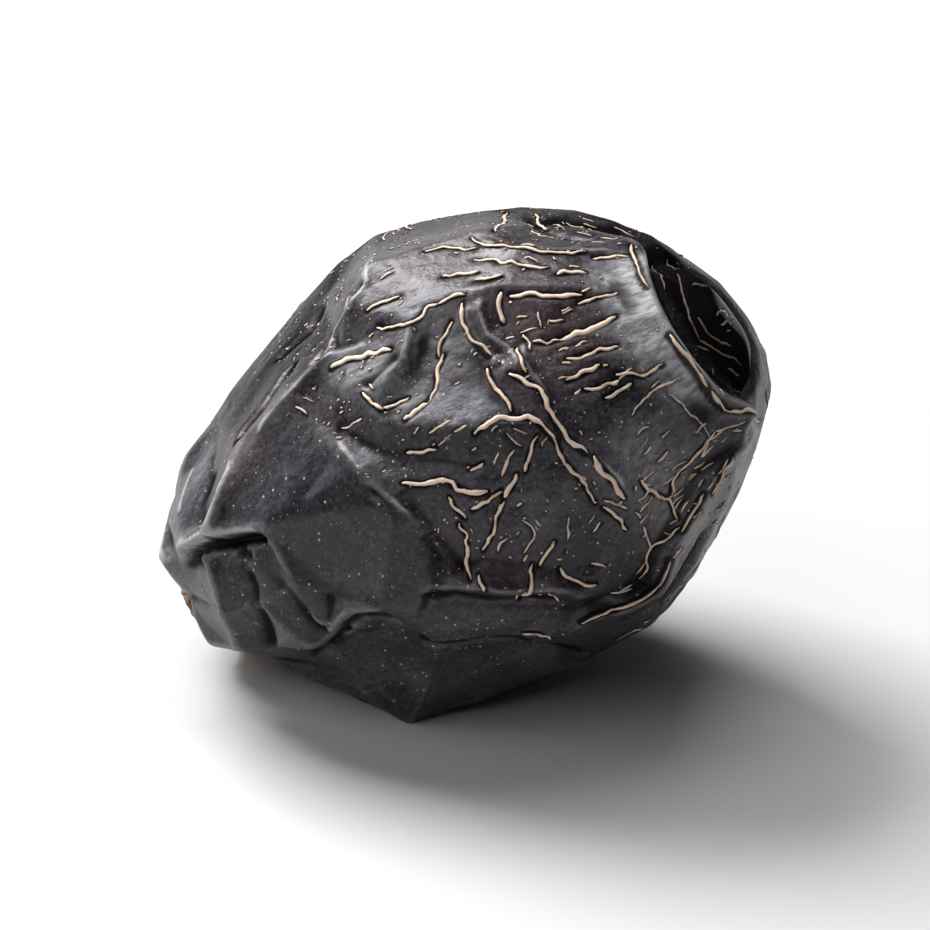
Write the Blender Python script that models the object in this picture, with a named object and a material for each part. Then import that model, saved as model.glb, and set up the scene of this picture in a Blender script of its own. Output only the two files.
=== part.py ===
# An ajwa date at its real size: one body of flesh in its dried, folded skin, and the small
# woody cap that stays on its stem end. It lies on a small flat spot with its tip raised.
#
# The skin is a function of direction from the middle of the fruit: a blunt egg that fills the
# outline in the photograph, a skin drawn tight over lines of crests and furrows, then folds.
# Lines and folds on the side that the photograph shows are laid out in photograph pixels and
# carried to the skin along the line of sight. The rest are drawn by a seeded rule.

import itertools
import math

import bmesh
import bpy
import numpy as np

# Driving dimensions, in millimetres and degrees.
FRUIT_LENGTH = 32.0
FRUIT_WIDTH = 24.0
BLUNTNESS = 2.25
FLAT_SPOT_DEPTH = 1.1
TIP_RISE = 36.0
TIP_TURN = -10.0

# The line of sight of the photograph, and the place and scale of the fruit in it.
SIGHT_RISE = 27.0
PHOTO_CENTRE = (308.4, 503.2)
MM_PER_PIXEL = 0.1085

# The blunt tip: a low round knob inside a ring furrow.
KNOB_RADIUS = 4.3
KNOB_RISE = 0.3
RING_DEPTH = 0.4
RING_WIDTH = 0.8

# The stem end: a dish for the cap, and pleats that run into it.
DISH_DEPTH = 1.0
DISH_REACH = 15.0
PLEATS = 11
PLEAT_DEPTH = 0.55
PLEAT_START = 16.0
PLEAT_END = 52.0
PLEAT_FADE = 6.0
PLEAT_ROUNDNESS = 0.7
SKIN_RELIEF_START = 14.0
SKIN_RELIEF_FULL = 20.0

# The woody cap.
CAP_RADIUS = 3.1
CAP_LOBES = 6
CAP_LOBE_DEPTH = 0.45
CAP_THICKNESS = 0.75
CAP_EDGE_THICKNESS = 0.3
CAP_GAP = 0.25
CAP_SCAR_RADIUS = 1.1
CAP_SCAR_DEPTH = 0.45
CAP_RIM_RISE = 0.35
CAP_TURN = 20.0

# Mesh fineness: squares along each edge of the cube that the flesh is rounded from, how much
# closer they lie on the side in view, and points round and across the cap.
FLESH_SQUARES = 31
CLOSER_IN_VIEW = 0.25
CAP_AROUND = 48
CAP_RINGS = 22

# Angles of the picture at which the outline is measured, and how closely a corner is met.
ANGLE_STEPS = 2880
NEAR_CORNER = 1e-6

MM = 0.001
SEED = 7

# The outline of the fruit, walked in the photograph from its left point over the top.
OUTLINE = [
    (167, 546), (171, 527), (176, 508), (180, 498), (190, 486), (199, 471), (213, 454),
    (228, 436), (241, 422), (250, 412), (259, 407), (267, 399), (282, 394), (298, 390),
    (317, 387), (334, 385), (358, 388), (376, 393), (392, 399), (410, 408), (426, 420),
    (439, 436), (447, 452), (450, 468), (446, 484), (439, 500), (432, 518), (424, 537),
    (410, 557), (394, 577), (376, 586), (359, 596), (345, 600), (313, 613), (298, 617),
    (282, 624), (270, 616), (248, 604), (225, 595), (208, 591), (190, 587), (180, 569), (172, 554),
]

# The skin is drawn tight over lines of crests and furrows. Between them it lies in flat planes.
# Each line has a lift from the smooth body in millimetres and its run in photograph pixels.
LINES = {
    "flank_edge": (0.90, [
        (267, 413), (257, 433), (246, 454), (228, 472), (207, 495), (199, 514), (191, 533),
        (180, 541)
    ]),
    "flank_middle": (-0.30, [(243, 430), (222, 458), (197, 484)]),
    "lip": (0.40, [(190, 534), (202, 532), (215, 531)]),
    "under_lip": (-0.40, [(176, 556), (186, 552)]),
    "notch": (-0.55, [(180, 549), (191, 545), (204, 541), (217, 538)]),
    "strip_crest": (0.15, [(193, 553), (199, 572), (205, 586)]),
    "strip_furrow": (-0.25, [(209, 550), (215, 567), (222, 586)]),
    "middle_tuck": (-0.30, [(231, 558), (236, 571), (246, 577), (250, 562)]),
    "diagonal": (0.25, [(250, 492), (263, 505), (277, 521), (291, 538), (303, 552)]),
    "diagonal_furrow": (-0.20, [(285, 522), (297, 535), (307, 548)]),
    "lower_crest": (0.70, [
        (238, 588), (247, 580), (257, 571), (271, 567), (285, 569), (292, 559), (310, 559),
        (330, 561), (347, 559), (360, 563)
    ]),
    "lower_furrow": (-0.50, [(249, 587), (260, 579), (273, 576), (287, 581)]),
    "ledge": (0.15, [(292, 578), (310, 578), (330, 577), (350, 581)]),
    "ledge_furrow": (-0.60, [(298, 588), (318, 586), (340, 588), (357, 590)]),
    "ledge_back": (-0.15, [(300, 567), (320, 568), (345, 568)]),
    "right_rim": (0.55, [
        (362, 576), (380, 568), (396, 560), (401, 546), (410, 530), (420, 511), (433, 492)
    ]),
    "right_rim_furrow": (-0.20, [(358, 568), (374, 561), (388, 555), (393, 542), (401, 526), (411, 507)]),
    "low_rim": (0.15, [(386, 577), (399, 566), (412, 549), (427, 517)]),
    "shoulder": (0.75, [
        (384, 403), (388, 419), (394, 437), (403, 452), (413, 466), (424, 477), (438, 481)
    ]),
    "shoulder_foot": (-0.75, [(397, 408), (401, 424), (408, 441), (419, 456), (434, 466)]),
    "shoulder_back": (0.10, [(373, 421), (381, 439), (391, 457), (404, 472), (418, 487)]),
    "disc": (-0.60, [(412, 424), (418, 435), (430, 449)]),
    "crown_hollow": (-0.75, [(343, 394), (359, 396), (373, 400)]),
    "crown_edge": (0.20, [(318, 398), (332, 406), (352, 409), (371, 410)]),
    "brow": (0.40, [(284, 440), (294, 433), (306, 428), (322, 424), (346, 424), (366, 425)]),
    "hollow": (-0.60, [(289, 452), (302, 456), (315, 460)]),
    "window": (0.15, [(252, 452), (266, 449)]),
    "window_foot": (0.30, [(249, 470), (260, 471), (272, 463), (281, 452)]),
    "sheen_floor": (-0.45, [(285, 468), (300, 468), (316, 470)]),
    "sheen_rim": (0.25, [(272, 485), (288, 487), (303, 486), (318, 485), (332, 486)]),
    "valley": (-0.30, [(256, 490), (270, 498), (286, 502), (302, 503), (318, 504)]),
    "centre": (0.10, [(282, 513), (298, 512), (312, 517), (320, 530), (322, 545)]),
    "mid_ridge": (0.30, [(329, 462), (342, 471), (350, 487), (364, 500), (379, 519)]),
    "mid_valley": (-0.10, [(340, 447), (352, 462), (362, 479), (377, 493), (390, 507)]),
    "centre_furrow": (-0.15, [(336, 500), (347, 515), (360, 534), (372, 545)]),
    "centre_low": (0.05, [(338, 532), (350, 550)]),
}

# Lifts fade in over this depth from the outline toward the viewer, in millimetres.
LIFT_FULL_DEPTH = 4.0

# The rule for corners of the skin away from view.
FAR_CORNERS = 150
FAR_LIFT = 0.5
LIMB_LIFT = 0.15
FAR_CORNER_SHAKE = 0.07

# Folds on the side in view. Each has a height in millimetres, negative for a furrow, a width in
# millimetres, and its run in photograph pixels.
FOLDS = {
    "flank_edge": (0.36, 0.30, [
        (267, 410), (263, 423), (257, 435), (250, 447), (241, 461), (230, 474), (220, 485),
        (210, 498)
    ]),
    "flank_furrow": (-0.75, 0.16, [(231, 458), (226, 464), (222, 470), (216, 479), (210, 486), (204, 495)]),
    "flank_line": (-0.22, 0.20, [(257, 432), (250, 443), (243, 453), (234, 463)]),
    "shoulder_furrow": (-0.65, 0.16, [(244, 433), (240, 438), (237, 443), (231, 448), (223, 456)]),
    "shoulder_pit": (-0.60, 0.30, [(263, 421), (259, 427), (254, 432)]),
    "flap_rim": (0.36, 0.20, [
        (204, 497), (202, 507), (198, 517), (193, 528), (188, 535), (180, 541), (170, 545)
    ]),
    "flap_streak": (0.20, 0.30, [(186, 503), (183, 514), (179, 527)]),
    "flap_groove": (-0.22, 0.22, [(196, 505), (190, 519), (185, 531)]),
    "notch": (-0.95, 0.26, [(182, 545), (190, 541), (200, 539), (210, 537), (218, 536)]),
    "lip_edge": (0.28, 0.25, [(189, 536), (199, 533), (208, 532), (217, 532)]),
    "notch_foot": (0.18, 0.20, [(206, 541), (212, 539), (219, 538)]),
    "notch_tuck": (-0.40, 0.22, [(205, 541), (209, 545), (212, 542)]),
    "strip_ridge": (0.25, 0.40, [(192, 547), (198, 561), (204, 578), (213, 592)]),
    "strip_furrow": (-0.42, 0.26, [(208, 546), (212, 559), (217, 573), (222, 588)]),
    "diagonal": (0.12, 0.35, [(247, 489), (263, 507), (278, 523), (292, 540), (304, 555)]),
    "diagonal_line": (-0.28, 0.22, [(262, 511), (272, 521), (284, 531), (294, 542), (302, 553)]),
    "middle_wave": (-0.12, 0.45, [(217, 541), (227, 540), (231, 532), (234, 523), (240, 513), (247, 501)]),
    "middle_tuck": (-0.22, 0.28, [(219, 549), (229, 561), (236, 573), (245, 578), (248, 570), (248, 557)]),
    "lower_lip": (-0.62, 0.26, [(239, 591), (246, 584), (255, 576), (263, 572), (273, 572), (283, 575)]),
    "lower_lip_crest": (0.24, 0.30, [(240, 586), (248, 578), (256, 570), (266, 567), (278, 569)]),
    "ledge_lip": (-0.55, 0.26, [(289, 571), (291, 564), (303, 563), (320, 565), (337, 564), (355, 565)]),
    "ledge_crest": (0.20, 0.30, [(292, 558), (305, 558), (322, 560), (340, 559), (356, 560)]),
    "lower_furrow": (-0.62, 0.28, [
        (284, 577), (289, 584), (298, 586), (318, 583), (334, 583), (350, 587), (367, 590)
    ]),
    "belly_tuck": (0.24, 0.40, [(260, 606), (271, 604), (278, 612), (282, 622)]),
    "right_rim": (0.30, 0.40, [
        (363, 575), (372, 570), (386, 566), (396, 560), (400, 550), (405, 541), (411, 529),
        (417, 517), (425, 503), (435, 490), (443, 484)
    ]),
    "rim_shade": (-0.32, 0.28, [(356, 574), (366, 568), (380, 563), (391, 557)]),
    "outer_furrow": (-0.42, 0.28, [(370, 578), (385, 572), (398, 565), (404, 556), (411, 544), (418, 530)]),
    "low_rim": (0.20, 0.30, [(376, 584), (387, 577), (398, 569), (407, 557), (417, 546)]),
    "shoulder": (0.36, 0.40, [
        (383, 400), (387, 417), (393, 437), (399, 447), (408, 459), (418, 471), (428, 479),
        (435, 481), (444, 483)
    ]),
    "mid_ridge": (0.32, 0.30, [
        (327, 459), (339, 467), (346, 479), (352, 491), (364, 500), (373, 509), (380, 520)
    ]),
    "window_fold": (-0.36, 0.22, [(261, 471), (271, 462), (280, 452)]),
    "sheen_rim": (0.16, 0.40, [(292, 487), (303, 484), (315, 486), (330, 483)]),
    "pillar": (0.36, 0.28, [(307, 432), (308, 440), (312, 448), (318, 455), (324, 460)]),
    "hook": (0.36, 0.26, [(316, 427), (314, 436), (318, 446), (326, 452), (333, 460), (338, 466)]),
    "crown_edge": (0.20, 0.30, [(312, 402), (326, 406), (344, 408), (364, 410), (381, 409)]),
    "crown_crease": (-0.40, 0.30, [(338, 391), (344, 397), (355, 401), (370, 404)]),
}

# The rule for folds away from view.
FAR_FOLDS = 34
FAR_FOLD_STEPS = 6
FAR_FOLD_STEP = 1.7
FAR_FOLD_HEIGHT = (0.3, 0.65)
FAR_FOLD_WIDTH = (0.25, 0.75)
FAR_FOLD_LEAN = 50.0
FAR_FOLD_DRIFT = 26.0
MOST_ALONG = (-0.9, 0.95)

# Relief away from view fades out toward the limb, between these two cosines with the line of
# sight.
LIMB = (-0.42, -0.05)

# The net of ridges that covers the whole skin, coarse then fine.
NET_SIZES = (6.4, 2.9)
NET_HEIGHTS = (0.75, 0.26)
NET_WIDTHS = (1.25, 0.6)
NET_IN_VIEW = 0.06
NET_STRETCH = 0.38

# How round creases are. A fold narrower than the mesh can hold is widened and lowered.
CREASE_ROUNDING = 0.35
CREASE_TIP = 0.25
NARROWEST_FOLD = 0.7
WAVER = 0.25
WAVER_SIZE = 2.6
LOW_ZONE_RELIEF = 0.35
FOLD_FADE = 0.16
FOLD_END = 0.15


def unit(vectors):
    return vectors / np.linalg.norm(vectors, axis=-1, keepdims=True)


def smooth_step(low, high, values):
    t = np.clip((values - low) / (high - low), 0.0, 1.0)
    return t * t * (3.0 - 2.0 * t)


def turned(rise, turn):
    """A unit vector that rises from the ground by one angle and turns from +X by another."""
    rise, turn = math.radians(rise), math.radians(turn)
    return np.array([math.cos(rise) * math.cos(turn), math.cos(rise) * math.sin(turn), math.sin(rise)])


TIP_AXIS = turned(TIP_RISE, TIP_TURN)
TO_VIEWER = turned(SIGHT_RISE, -90.0)
VIEW_RIGHT = np.array([1.0, 0.0, 0.0])
VIEW_UP = np.cross(TO_VIEWER, VIEW_RIGHT)
PICTURE_AXES = np.stack([VIEW_RIGHT, VIEW_UP])


def hashed(cells, channel):
    """A number from 0 to 1 for each whole-number cell of a lattice."""
    n = cells[..., 0] * 73856093 ^ cells[..., 1] * 19349663 ^ cells[..., 2] * 83492791
    n ^= (channel + SEED) * 2654435761
    n = (n ^ (n >> 15)) * 2246822519 & 0xFFFFFFFF
    n = (n ^ (n >> 13)) * 3266489917 & 0xFFFFFFFF
    return ((n ^ (n >> 16)) & 0xFFFFFF) / 0xFFFFFF


def waver(points, size, channel):
    """Smooth noise from -1 to 1 that changes over a distance of size."""
    scaled = points / size
    cell = np.floor(scaled).astype(np.int64)
    t = scaled - cell
    t = t * t * (3.0 - 2.0 * t)
    total = np.zeros(len(points))
    for corner in itertools.product((0, 1), repeat=3):
        weight = np.prod(np.where(corner, t, 1.0 - t), axis=-1)
        total += weight * hashed(cell + np.array(corner), channel)
    return 2.0 * total - 1.0


def border_distance(points, size, channel):
    """How far each point is from the border between the two nearest cells of an uneven lattice."""
    scaled = points / size
    cell = np.floor(scaled).astype(np.int64)
    nearest = np.full(len(points), 9.0)
    second = np.full(len(points), 9.0)
    for step in itertools.product((-1, 0, 1), repeat=3):
        here = cell + np.array(step)
        seed = np.stack([hashed(here, channel + axis) for axis in range(3)], axis=-1)
        distance = np.linalg.norm(here + 0.1 + 0.8 * seed - scaled, axis=-1)
        second = np.minimum(second, np.maximum(nearest, distance))
        nearest = np.minimum(nearest, distance)
    return (second - nearest) * size


def egg_radius(directions):
    """The smooth body: a long round shape with blunt ends, as a distance from its middle."""
    along = np.abs(directions @ TIP_AXIS)
    across = np.sqrt(np.maximum(1.0 - along**2, 0.0))
    shape = (along / (FRUIT_LENGTH / 2)) ** BLUNTNESS + (across / (FRUIT_WIDTH / 2)) ** BLUNTNESS
    return shape ** (-1.0 / BLUNTNESS)


def outline_reach(angles):
    """How far the outline reaches from its middle at each angle of the picture."""
    corners = (np.array(OUTLINE, float) - PHOTO_CENTRE) * (MM_PER_PIXEL, -MM_PER_PIXEL)
    ray_x, ray_y = np.cos(angles), np.sin(angles)
    reach = np.zeros(len(angles))
    for a, b in zip(corners, np.roll(corners, -1, axis=0)):
        edge = b - a
        across = ray_x * edge[1] - ray_y * edge[0]
        length = (a[0] * edge[1] - a[1] * edge[0]) / across
        place = (a[0] * ray_y - a[1] * ray_x) / across
        crosses = (length > 0.0) & (place >= -NEAR_CORNER) & (place <= 1.0 + NEAR_CORNER)
        reach = np.where(crosses, np.maximum(reach, length), reach)
    return reach


def egg_reach(angles):
    """How far the egg reaches at each angle of the picture, over many leans toward the viewer."""
    rays = np.stack([np.cos(angles), np.sin(angles)], axis=-1) @ PICTURE_AXES
    leans = np.linspace(-0.8, 0.8, 65)[:, None, None]
    directions = unit(rays + leans * TO_VIEWER)
    points = directions * egg_radius(directions)[..., None]
    return np.linalg.norm(points @ PICTURE_AXES.T, axis=-1).max(axis=0)


ANGLES = np.linspace(-math.pi, math.pi, ANGLE_STEPS + 1)
WIDENING = outline_reach(ANGLES) / egg_reach(ANGLES)


def body_radius(directions):
    """The smooth body: the egg, widened about the line of sight until it fills the outline."""
    flat = directions @ PICTURE_AXES.T
    scale = np.interp(np.arctan2(flat[..., 1], flat[..., 0]), ANGLES, WIDENING)[..., None]
    depth = (directions @ TO_VIEWER)[..., None]
    before = unit(np.concatenate([flat / scale, depth], axis=-1))
    egg = egg_radius(before @ np.concatenate([PICTURE_AXES, TO_VIEWER[None]]))
    return egg * np.hypot(np.linalg.norm(before[..., :2] * scale, axis=-1), before[..., 2])


def behind_pixels(pixels, radius_of):
    """Directions of the points behind photograph pixels, on a surface given by its radius."""
    offset = (np.asarray(pixels, float) - PHOTO_CENTRE) * MM_PER_PIXEL
    flat = offset[:, :1] * VIEW_RIGHT - offset[:, 1:] * VIEW_UP
    near, far = np.zeros(len(flat)), np.full(len(flat), FRUIT_LENGTH)
    for _ in range(24):
        middle = (near + far) / 2
        points = flat + middle[:, None] * TO_VIEWER
        inside = np.linalg.norm(points, axis=-1) < radius_of(unit(points))
        near, far = np.where(inside, middle, near), np.where(inside, far, middle)
    return unit(flat + near[:, None] * TO_VIEWER)


def skin_corners():
    """All corners that the skin is drawn over: the outline, the lines in view, and a seeded far side."""
    rim = behind_pixels(OUTLINE, body_radius)
    corners = [rim * body_radius(rim)[:, None]]
    for lift, pixels in LINES.values():
        flat = behind_pixels(pixels, body_radius)
        lifts = lift * smooth_step(0.0, LIFT_FULL_DEPTH, body_radius(flat) * (flat @ TO_VIEWER))
        raised = behind_pixels(pixels, lambda around: body_radius(around) + lifts)
        corners.append(raised * (body_radius(raised) + lifts)[:, None])
    draw = np.random.default_rng(SEED)
    count = np.arange(FAR_CORNERS)
    height = 1.0 - 2.0 * (count + 0.5) / FAR_CORNERS
    angle = count * math.pi * (3.0 - math.sqrt(5.0))
    ring = np.sqrt(1.0 - height**2)
    even = np.stack([ring * np.cos(angle), ring * np.sin(angle), height], axis=-1)
    directions = unit(even + draw.normal(0.0, FAR_CORNER_SHAKE, (FAR_CORNERS, 3)))
    lifts = draw.uniform(-1.0, 1.0, FAR_CORNERS)
    facing = directions @ TO_VIEWER
    hidden = facing < -0.05
    directions, lifts, facing = directions[hidden], lifts[hidden], facing[hidden]
    lifts *= LIMB_LIFT + (FAR_LIFT - LIMB_LIFT) * smooth_step(0.1, 0.5, -facing)
    corners.append(directions * (body_radius(directions) + lifts)[:, None])
    return np.concatenate(corners)


def skin_planes():
    """Normals n with n . point = 1: of the faces of the hull of directions, and of the skin's planes."""
    corners = skin_corners()
    directions = unit(corners)
    hull = bmesh.new()
    for index, direction in enumerate(directions):
        hull.verts.new(direction).index = index
    bmesh.ops.convex_hull(hull, input=hull.verts[:])
    faces = np.array([[vert.index for vert in face.verts] for face in hull.faces if len(face.verts) == 3])
    hull.free()
    normals = []
    for cloud in (directions, corners):
        a, b, c = cloud[faces[:, 0]], cloud[faces[:, 1]], cloud[faces[:, 2]]
        normal = np.cross(b - a, c - a)
        normals.append(normal / (normal * a).sum(axis=-1, keepdims=True))
    return normals


HULL_NORMALS, PLANE_NORMALS = skin_planes()


def drawn_radius(directions):
    """The drawn skin: a direction leaves the hull where n . direction is greatest, and meets that plane."""
    face = np.argmax(directions @ HULL_NORMALS.T, axis=1)
    return 1.0 / (directions * PLANE_NORMALS[face]).sum(axis=-1)


def soft_drawn_radius(directions):
    """The drawn skin with its creases rounded: the mean over a small ring about each direction."""
    side_a = unit(np.cross(directions, [0.36, 0.48, 0.8]))
    side_b = np.cross(directions, side_a)
    step = CREASE_ROUNDING / (FRUIT_WIDTH / 2)
    total = drawn_radius(directions)
    turns = np.arange(6) * math.pi / 3
    for turn in turns:
        around = directions + step * (math.cos(turn) * side_a + math.sin(turn) * side_b)
        total = total + drawn_radius(unit(around))
    return total / (len(turns) + 1)


def on_body(pixels):
    """The place on the body under the pixels of the drawn skin."""
    under = behind_pixels(pixels, drawn_radius)
    return under * body_radius(under)[:, None]


def far_folds(draw):
    """Folds for the side away from view: each walks over the skin, mostly along the fruit."""
    found = []
    while len(found) < FAR_FOLDS:
        direction = unit(draw.normal(0.0, 1.0, 3))
        along = direction @ TIP_AXIS
        if direction @ TO_VIEWER > 0.0 or not MOST_ALONG[0] < along < MOST_ALONG[1]:
            continue
        point = direction * body_radius(direction[None])[0]
        heading = math.radians(draw.normal(0.0, FAR_FOLD_LEAN))
        run = [point]
        for _ in range(FAR_FOLD_STEPS):
            outward = unit(point)
            lengthwise = unit(TIP_AXIS - (TIP_AXIS @ outward) * outward)
            sideways = np.cross(outward, lengthwise)
            heading += math.radians(draw.normal(0.0, FAR_FOLD_DRIFT))
            point = point + FAR_FOLD_STEP * (math.cos(heading) * lengthwise + math.sin(heading) * sideways)
            point = unit(point) * body_radius(unit(point)[None])[0]
            run.append(point)
        height = draw.uniform(*FAR_FOLD_HEIGHT) * draw.choice([-1.0, 1.0])
        found.append((height, draw.uniform(*FAR_FOLD_WIDTH), np.array(run)))
    return found


def nearest_on_run(points, run):
    """For each point: its distance to a run of straight stretches, and how far along it lies."""
    best = np.full(len(points), 1e9)
    place = np.zeros(len(points))
    lengths = np.linalg.norm(np.diff(run, axis=0), axis=-1)
    starts = np.concatenate([[0.0], np.cumsum(lengths)])
    for k, length in enumerate(lengths):
        edge = run[k + 1] - run[k]
        t = np.clip((points - run[k]) @ edge / length**2, 0.0, 1.0)
        distance = np.linalg.norm(points - run[k] - t[:, None] * edge, axis=-1)
        closer = distance < best
        best = np.where(closer, distance, best)
        place = np.where(closer, (starts[k] + t * length) / starts[-1], place)
    return best, place


def fold_height(points, height, width, run):
    """One fold's height over the skin. It fades in and out along its run."""
    distance, place = nearest_on_run(points, run)
    fade = smooth_step(0.0, FOLD_FADE, place) * smooth_step(0.0, FOLD_FADE, 1.0 - place)
    fade = FOLD_END + (1.0 - FOLD_END) * fade
    wide = max(width, NARROWEST_FOLD)
    flank = np.exp(-(np.sqrt(distance**2 + CREASE_TIP**2) - CREASE_TIP) / wide)
    return height * math.sqrt(width / wide) * fade * flank


def angle_from_stem(directions):
    return np.degrees(np.arccos(np.clip(-(directions @ TIP_AXIS), -1.0, 1.0)))


def angle_round_stem(directions):
    across = unit(np.cross(TIP_AXIS, TO_VIEWER))
    return np.arctan2(directions @ np.cross(TIP_AXIS, across), directions @ across)


def seat_radius(directions):
    """The stem end without folds: the smooth body with the dish that the cap sits in."""
    return body_radius(directions) - DISH_DEPTH * np.exp(-((angle_from_stem(directions) / DISH_REACH) ** 2))


def pleat_height(directions):
    """Pleats that run out from the cap, sharp between rounded swells, uneven in turn."""
    angle = angle_round_stem(directions)
    circle = np.stack([np.cos(angle), np.sin(angle), 0.02 * angle_from_stem(directions)], axis=-1)
    phase = PLEATS * angle / 2 + 2.2 * waver(circle, 0.8, 31)
    swell = np.abs(np.sin(phase)) ** PLEAT_ROUNDNESS - 0.6
    reach = angle_from_stem(directions)
    fade_in = smooth_step(PLEAT_START - PLEAT_FADE, PLEAT_START, reach)
    fade_out = 1.0 - smooth_step(PLEAT_START, PLEAT_END, reach)
    return PLEAT_DEPTH * swell * fade_in * fade_out


def knob_height(points):
    """The tip's round knob and the ring furrow about it."""
    from_axis = np.linalg.norm(points - (points @ TIP_AXIS)[:, None] * TIP_AXIS, axis=-1)
    knob = KNOB_RISE * (1.0 - smooth_step(KNOB_RADIUS * 0.4, KNOB_RADIUS, from_axis))
    ring = RING_DEPTH * np.exp(-(((from_axis - KNOB_RADIUS) / RING_WIDTH) ** 2))
    return np.where(points @ TIP_AXIS > 0.0, knob - ring, 0.0)


def skin_radius(directions):
    """The whole skin, as a distance from the middle of the fruit, in millimetres."""
    body = body_radius(directions)
    points = directions * body[:, None]
    shaken = points + WAVER * np.stack([waver(points, WAVER_SIZE, axis) for axis in range(3)], axis=-1)
    relief = knob_height(points) + pleat_height(directions)
    in_view = smooth_step(*LIMB, directions @ TO_VIEWER)
    stretched = shaken - NET_STRETCH * (shaken @ TIP_AXIS)[:, None] * TIP_AXIS
    net_amount = 1.0 - (1.0 - NET_IN_VIEW) * in_view
    for channel, (size, height, width) in enumerate(zip(NET_SIZES, NET_HEIGHTS, NET_WIDTHS)):
        gap = border_distance(stretched, size, 10 + 3 * channel)
        patchy = 0.65 + 0.35 * waver(points, 9.0, 20 + channel)
        relief += net_amount * patchy * height * (np.exp(-gap / width) - 0.4)
    for height, width, pixels in FOLDS.values():
        relief += fold_height(shaken, height, width, on_body(pixels))
    for height, width, run in far_folds(np.random.default_rng(SEED + 1)):
        relief += (1.0 - in_view) * fold_height(shaken, height, width, run)
    low = smooth_step(-0.92, -0.75, directions[:, 2])
    relief *= LOW_ZONE_RELIEF + (1.0 - LOW_ZONE_RELIEF) * low
    away = smooth_step(SKIN_RELIEF_START, SKIN_RELIEF_FULL, angle_from_stem(directions))
    drawn = soft_drawn_radius(directions)
    return seat_radius(directions) + away * (drawn - body + relief)


def on_ground(directions, radius, middle_height):
    """The skin's points, with everything below the ground pressed flat against it."""
    down = np.maximum(-directions[:, 2], 1e-9)
    return directions * np.minimum(radius, middle_height / down)[:, None]


def material(name, colour, roughness):
    made = bpy.data.materials.new(name)
    made.use_nodes = True
    shader = made.node_tree.nodes["Principled BSDF"]
    shader.inputs["Base Color"].default_value = (*colour, 1.0)
    shader.inputs["Roughness"].default_value = roughness
    shader.inputs["Metallic"].default_value = 0.0
    return made


def read_points(mesh):
    points = np.zeros(3 * len(mesh.vertices), np.float32)
    mesh.vertices.foreach_get("co", points)
    return points.reshape(-1, 3).astype(float)


def add_object(name, shape, collection, finish):
    """A mesh object made from a bmesh, shaded smooth, with its material."""
    mesh = bpy.data.meshes.new(name)
    shape.to_mesh(mesh)
    shape.free()
    made = bpy.data.objects.new(name, mesh)
    collection.objects.link(made)
    mesh.materials.append(finish)
    mesh.shade_smooth()
    return made


def make_flesh(collection, finish):
    """A cube cut into squares and rounded to directions, then moved out to the skin."""
    shape = bmesh.new()
    bmesh.ops.create_cube(shape, size=2.0)
    bmesh.ops.subdivide_edges(shape, edges=shape.edges[:], cuts=FLESH_SQUARES - 1, use_grid_fill=True)
    flesh = add_object("flesh", shape, collection, finish)
    directions = unit(unit(np.tan(read_points(flesh.data) * math.pi / 4)) + CLOSER_IN_VIEW * TO_VIEWER)
    radius = skin_radius(directions)
    middle_height = float(np.max(-directions[:, 2] * radius)) - FLAT_SPOT_DEPTH
    points = on_ground(directions, radius, middle_height)
    middle = np.array([*(-(points[:, :2].min(0) + points[:, :2].max(0)) / 2), middle_height])
    flesh.data.vertices.foreach_set("co", (points * MM).astype(np.float32).ravel())
    flesh.location = middle * MM
    return middle


def cap_outline(turn):
    """How far the cap reaches at each turn round the stem: broad lobes with notches between."""
    lobes = np.abs(np.cos(CAP_LOBES * turn / 2)) ** 0.6
    uneven = 0.25 * np.sin(2 * turn + 0.7) + 0.15 * np.sin(5 * turn + 2.0)
    return CAP_RADIUS + CAP_LOBE_DEPTH * (lobes - 0.6 + uneven)


def make_cap(collection, finish, middle):
    """A ball pressed flat: its lower half follows the dish, its upper half is the cap's outside."""
    shape = bmesh.new()
    bmesh.ops.create_uvsphere(shape, u_segments=CAP_AROUND, v_segments=CAP_RINGS, radius=1.0)
    cap = add_object("calyx", shape, collection, finish)
    ball = read_points(cap.data)
    upper = ball[:, 2] > 1e-4
    turn = np.arctan2(ball[:, 1], ball[:, 0])
    tilt = np.arccos(np.clip(np.abs(ball[:, 2]), 0.0, 1.0)) / (math.pi / 2)
    from_axis = tilt * cap_outline(turn + math.radians(CAP_TURN))
    across = unit(np.cross(TIP_AXIS, TO_VIEWER))
    sideways = np.cross(TIP_AXIS, across)
    flat = from_axis[:, None] * (np.cos(turn)[:, None] * across - np.sin(turn)[:, None] * sideways)
    directions = unit(flat - TIP_AXIS * (FRUIT_LENGTH / 2 - DISH_DEPTH))
    thickness = CAP_THICKNESS + (CAP_EDGE_THICKNESS - CAP_THICKNESS) * tilt**2
    scar = -CAP_SCAR_DEPTH * (1.0 - smooth_step(0.45, 1.0, from_axis / CAP_SCAR_RADIUS))
    rim = CAP_RIM_RISE * np.exp(-(((from_axis - 1.35 * CAP_SCAR_RADIUS) / 0.45) ** 2))
    outside = np.where(upper, thickness + scar + rim, 0.0)
    radius = seat_radius(directions) + CAP_GAP + outside
    cap.data.vertices.foreach_set("co", (directions * radius[:, None] * MM).astype(np.float32).ravel())
    cap.location = middle * MM


def main():
    for old in list(bpy.data.objects):
        bpy.data.objects.remove(old)
    collection = bpy.data.collections.new("ajwa_date")
    bpy.context.scene.collection.children.link(collection)
    middle = make_flesh(collection, material("dried skin", (0.022, 0.018, 0.022), 0.45))
    make_cap(collection, material("woody cap", (0.33, 0.17, 0.08), 0.75), middle)


main()
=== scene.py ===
import itertools
import math

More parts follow.
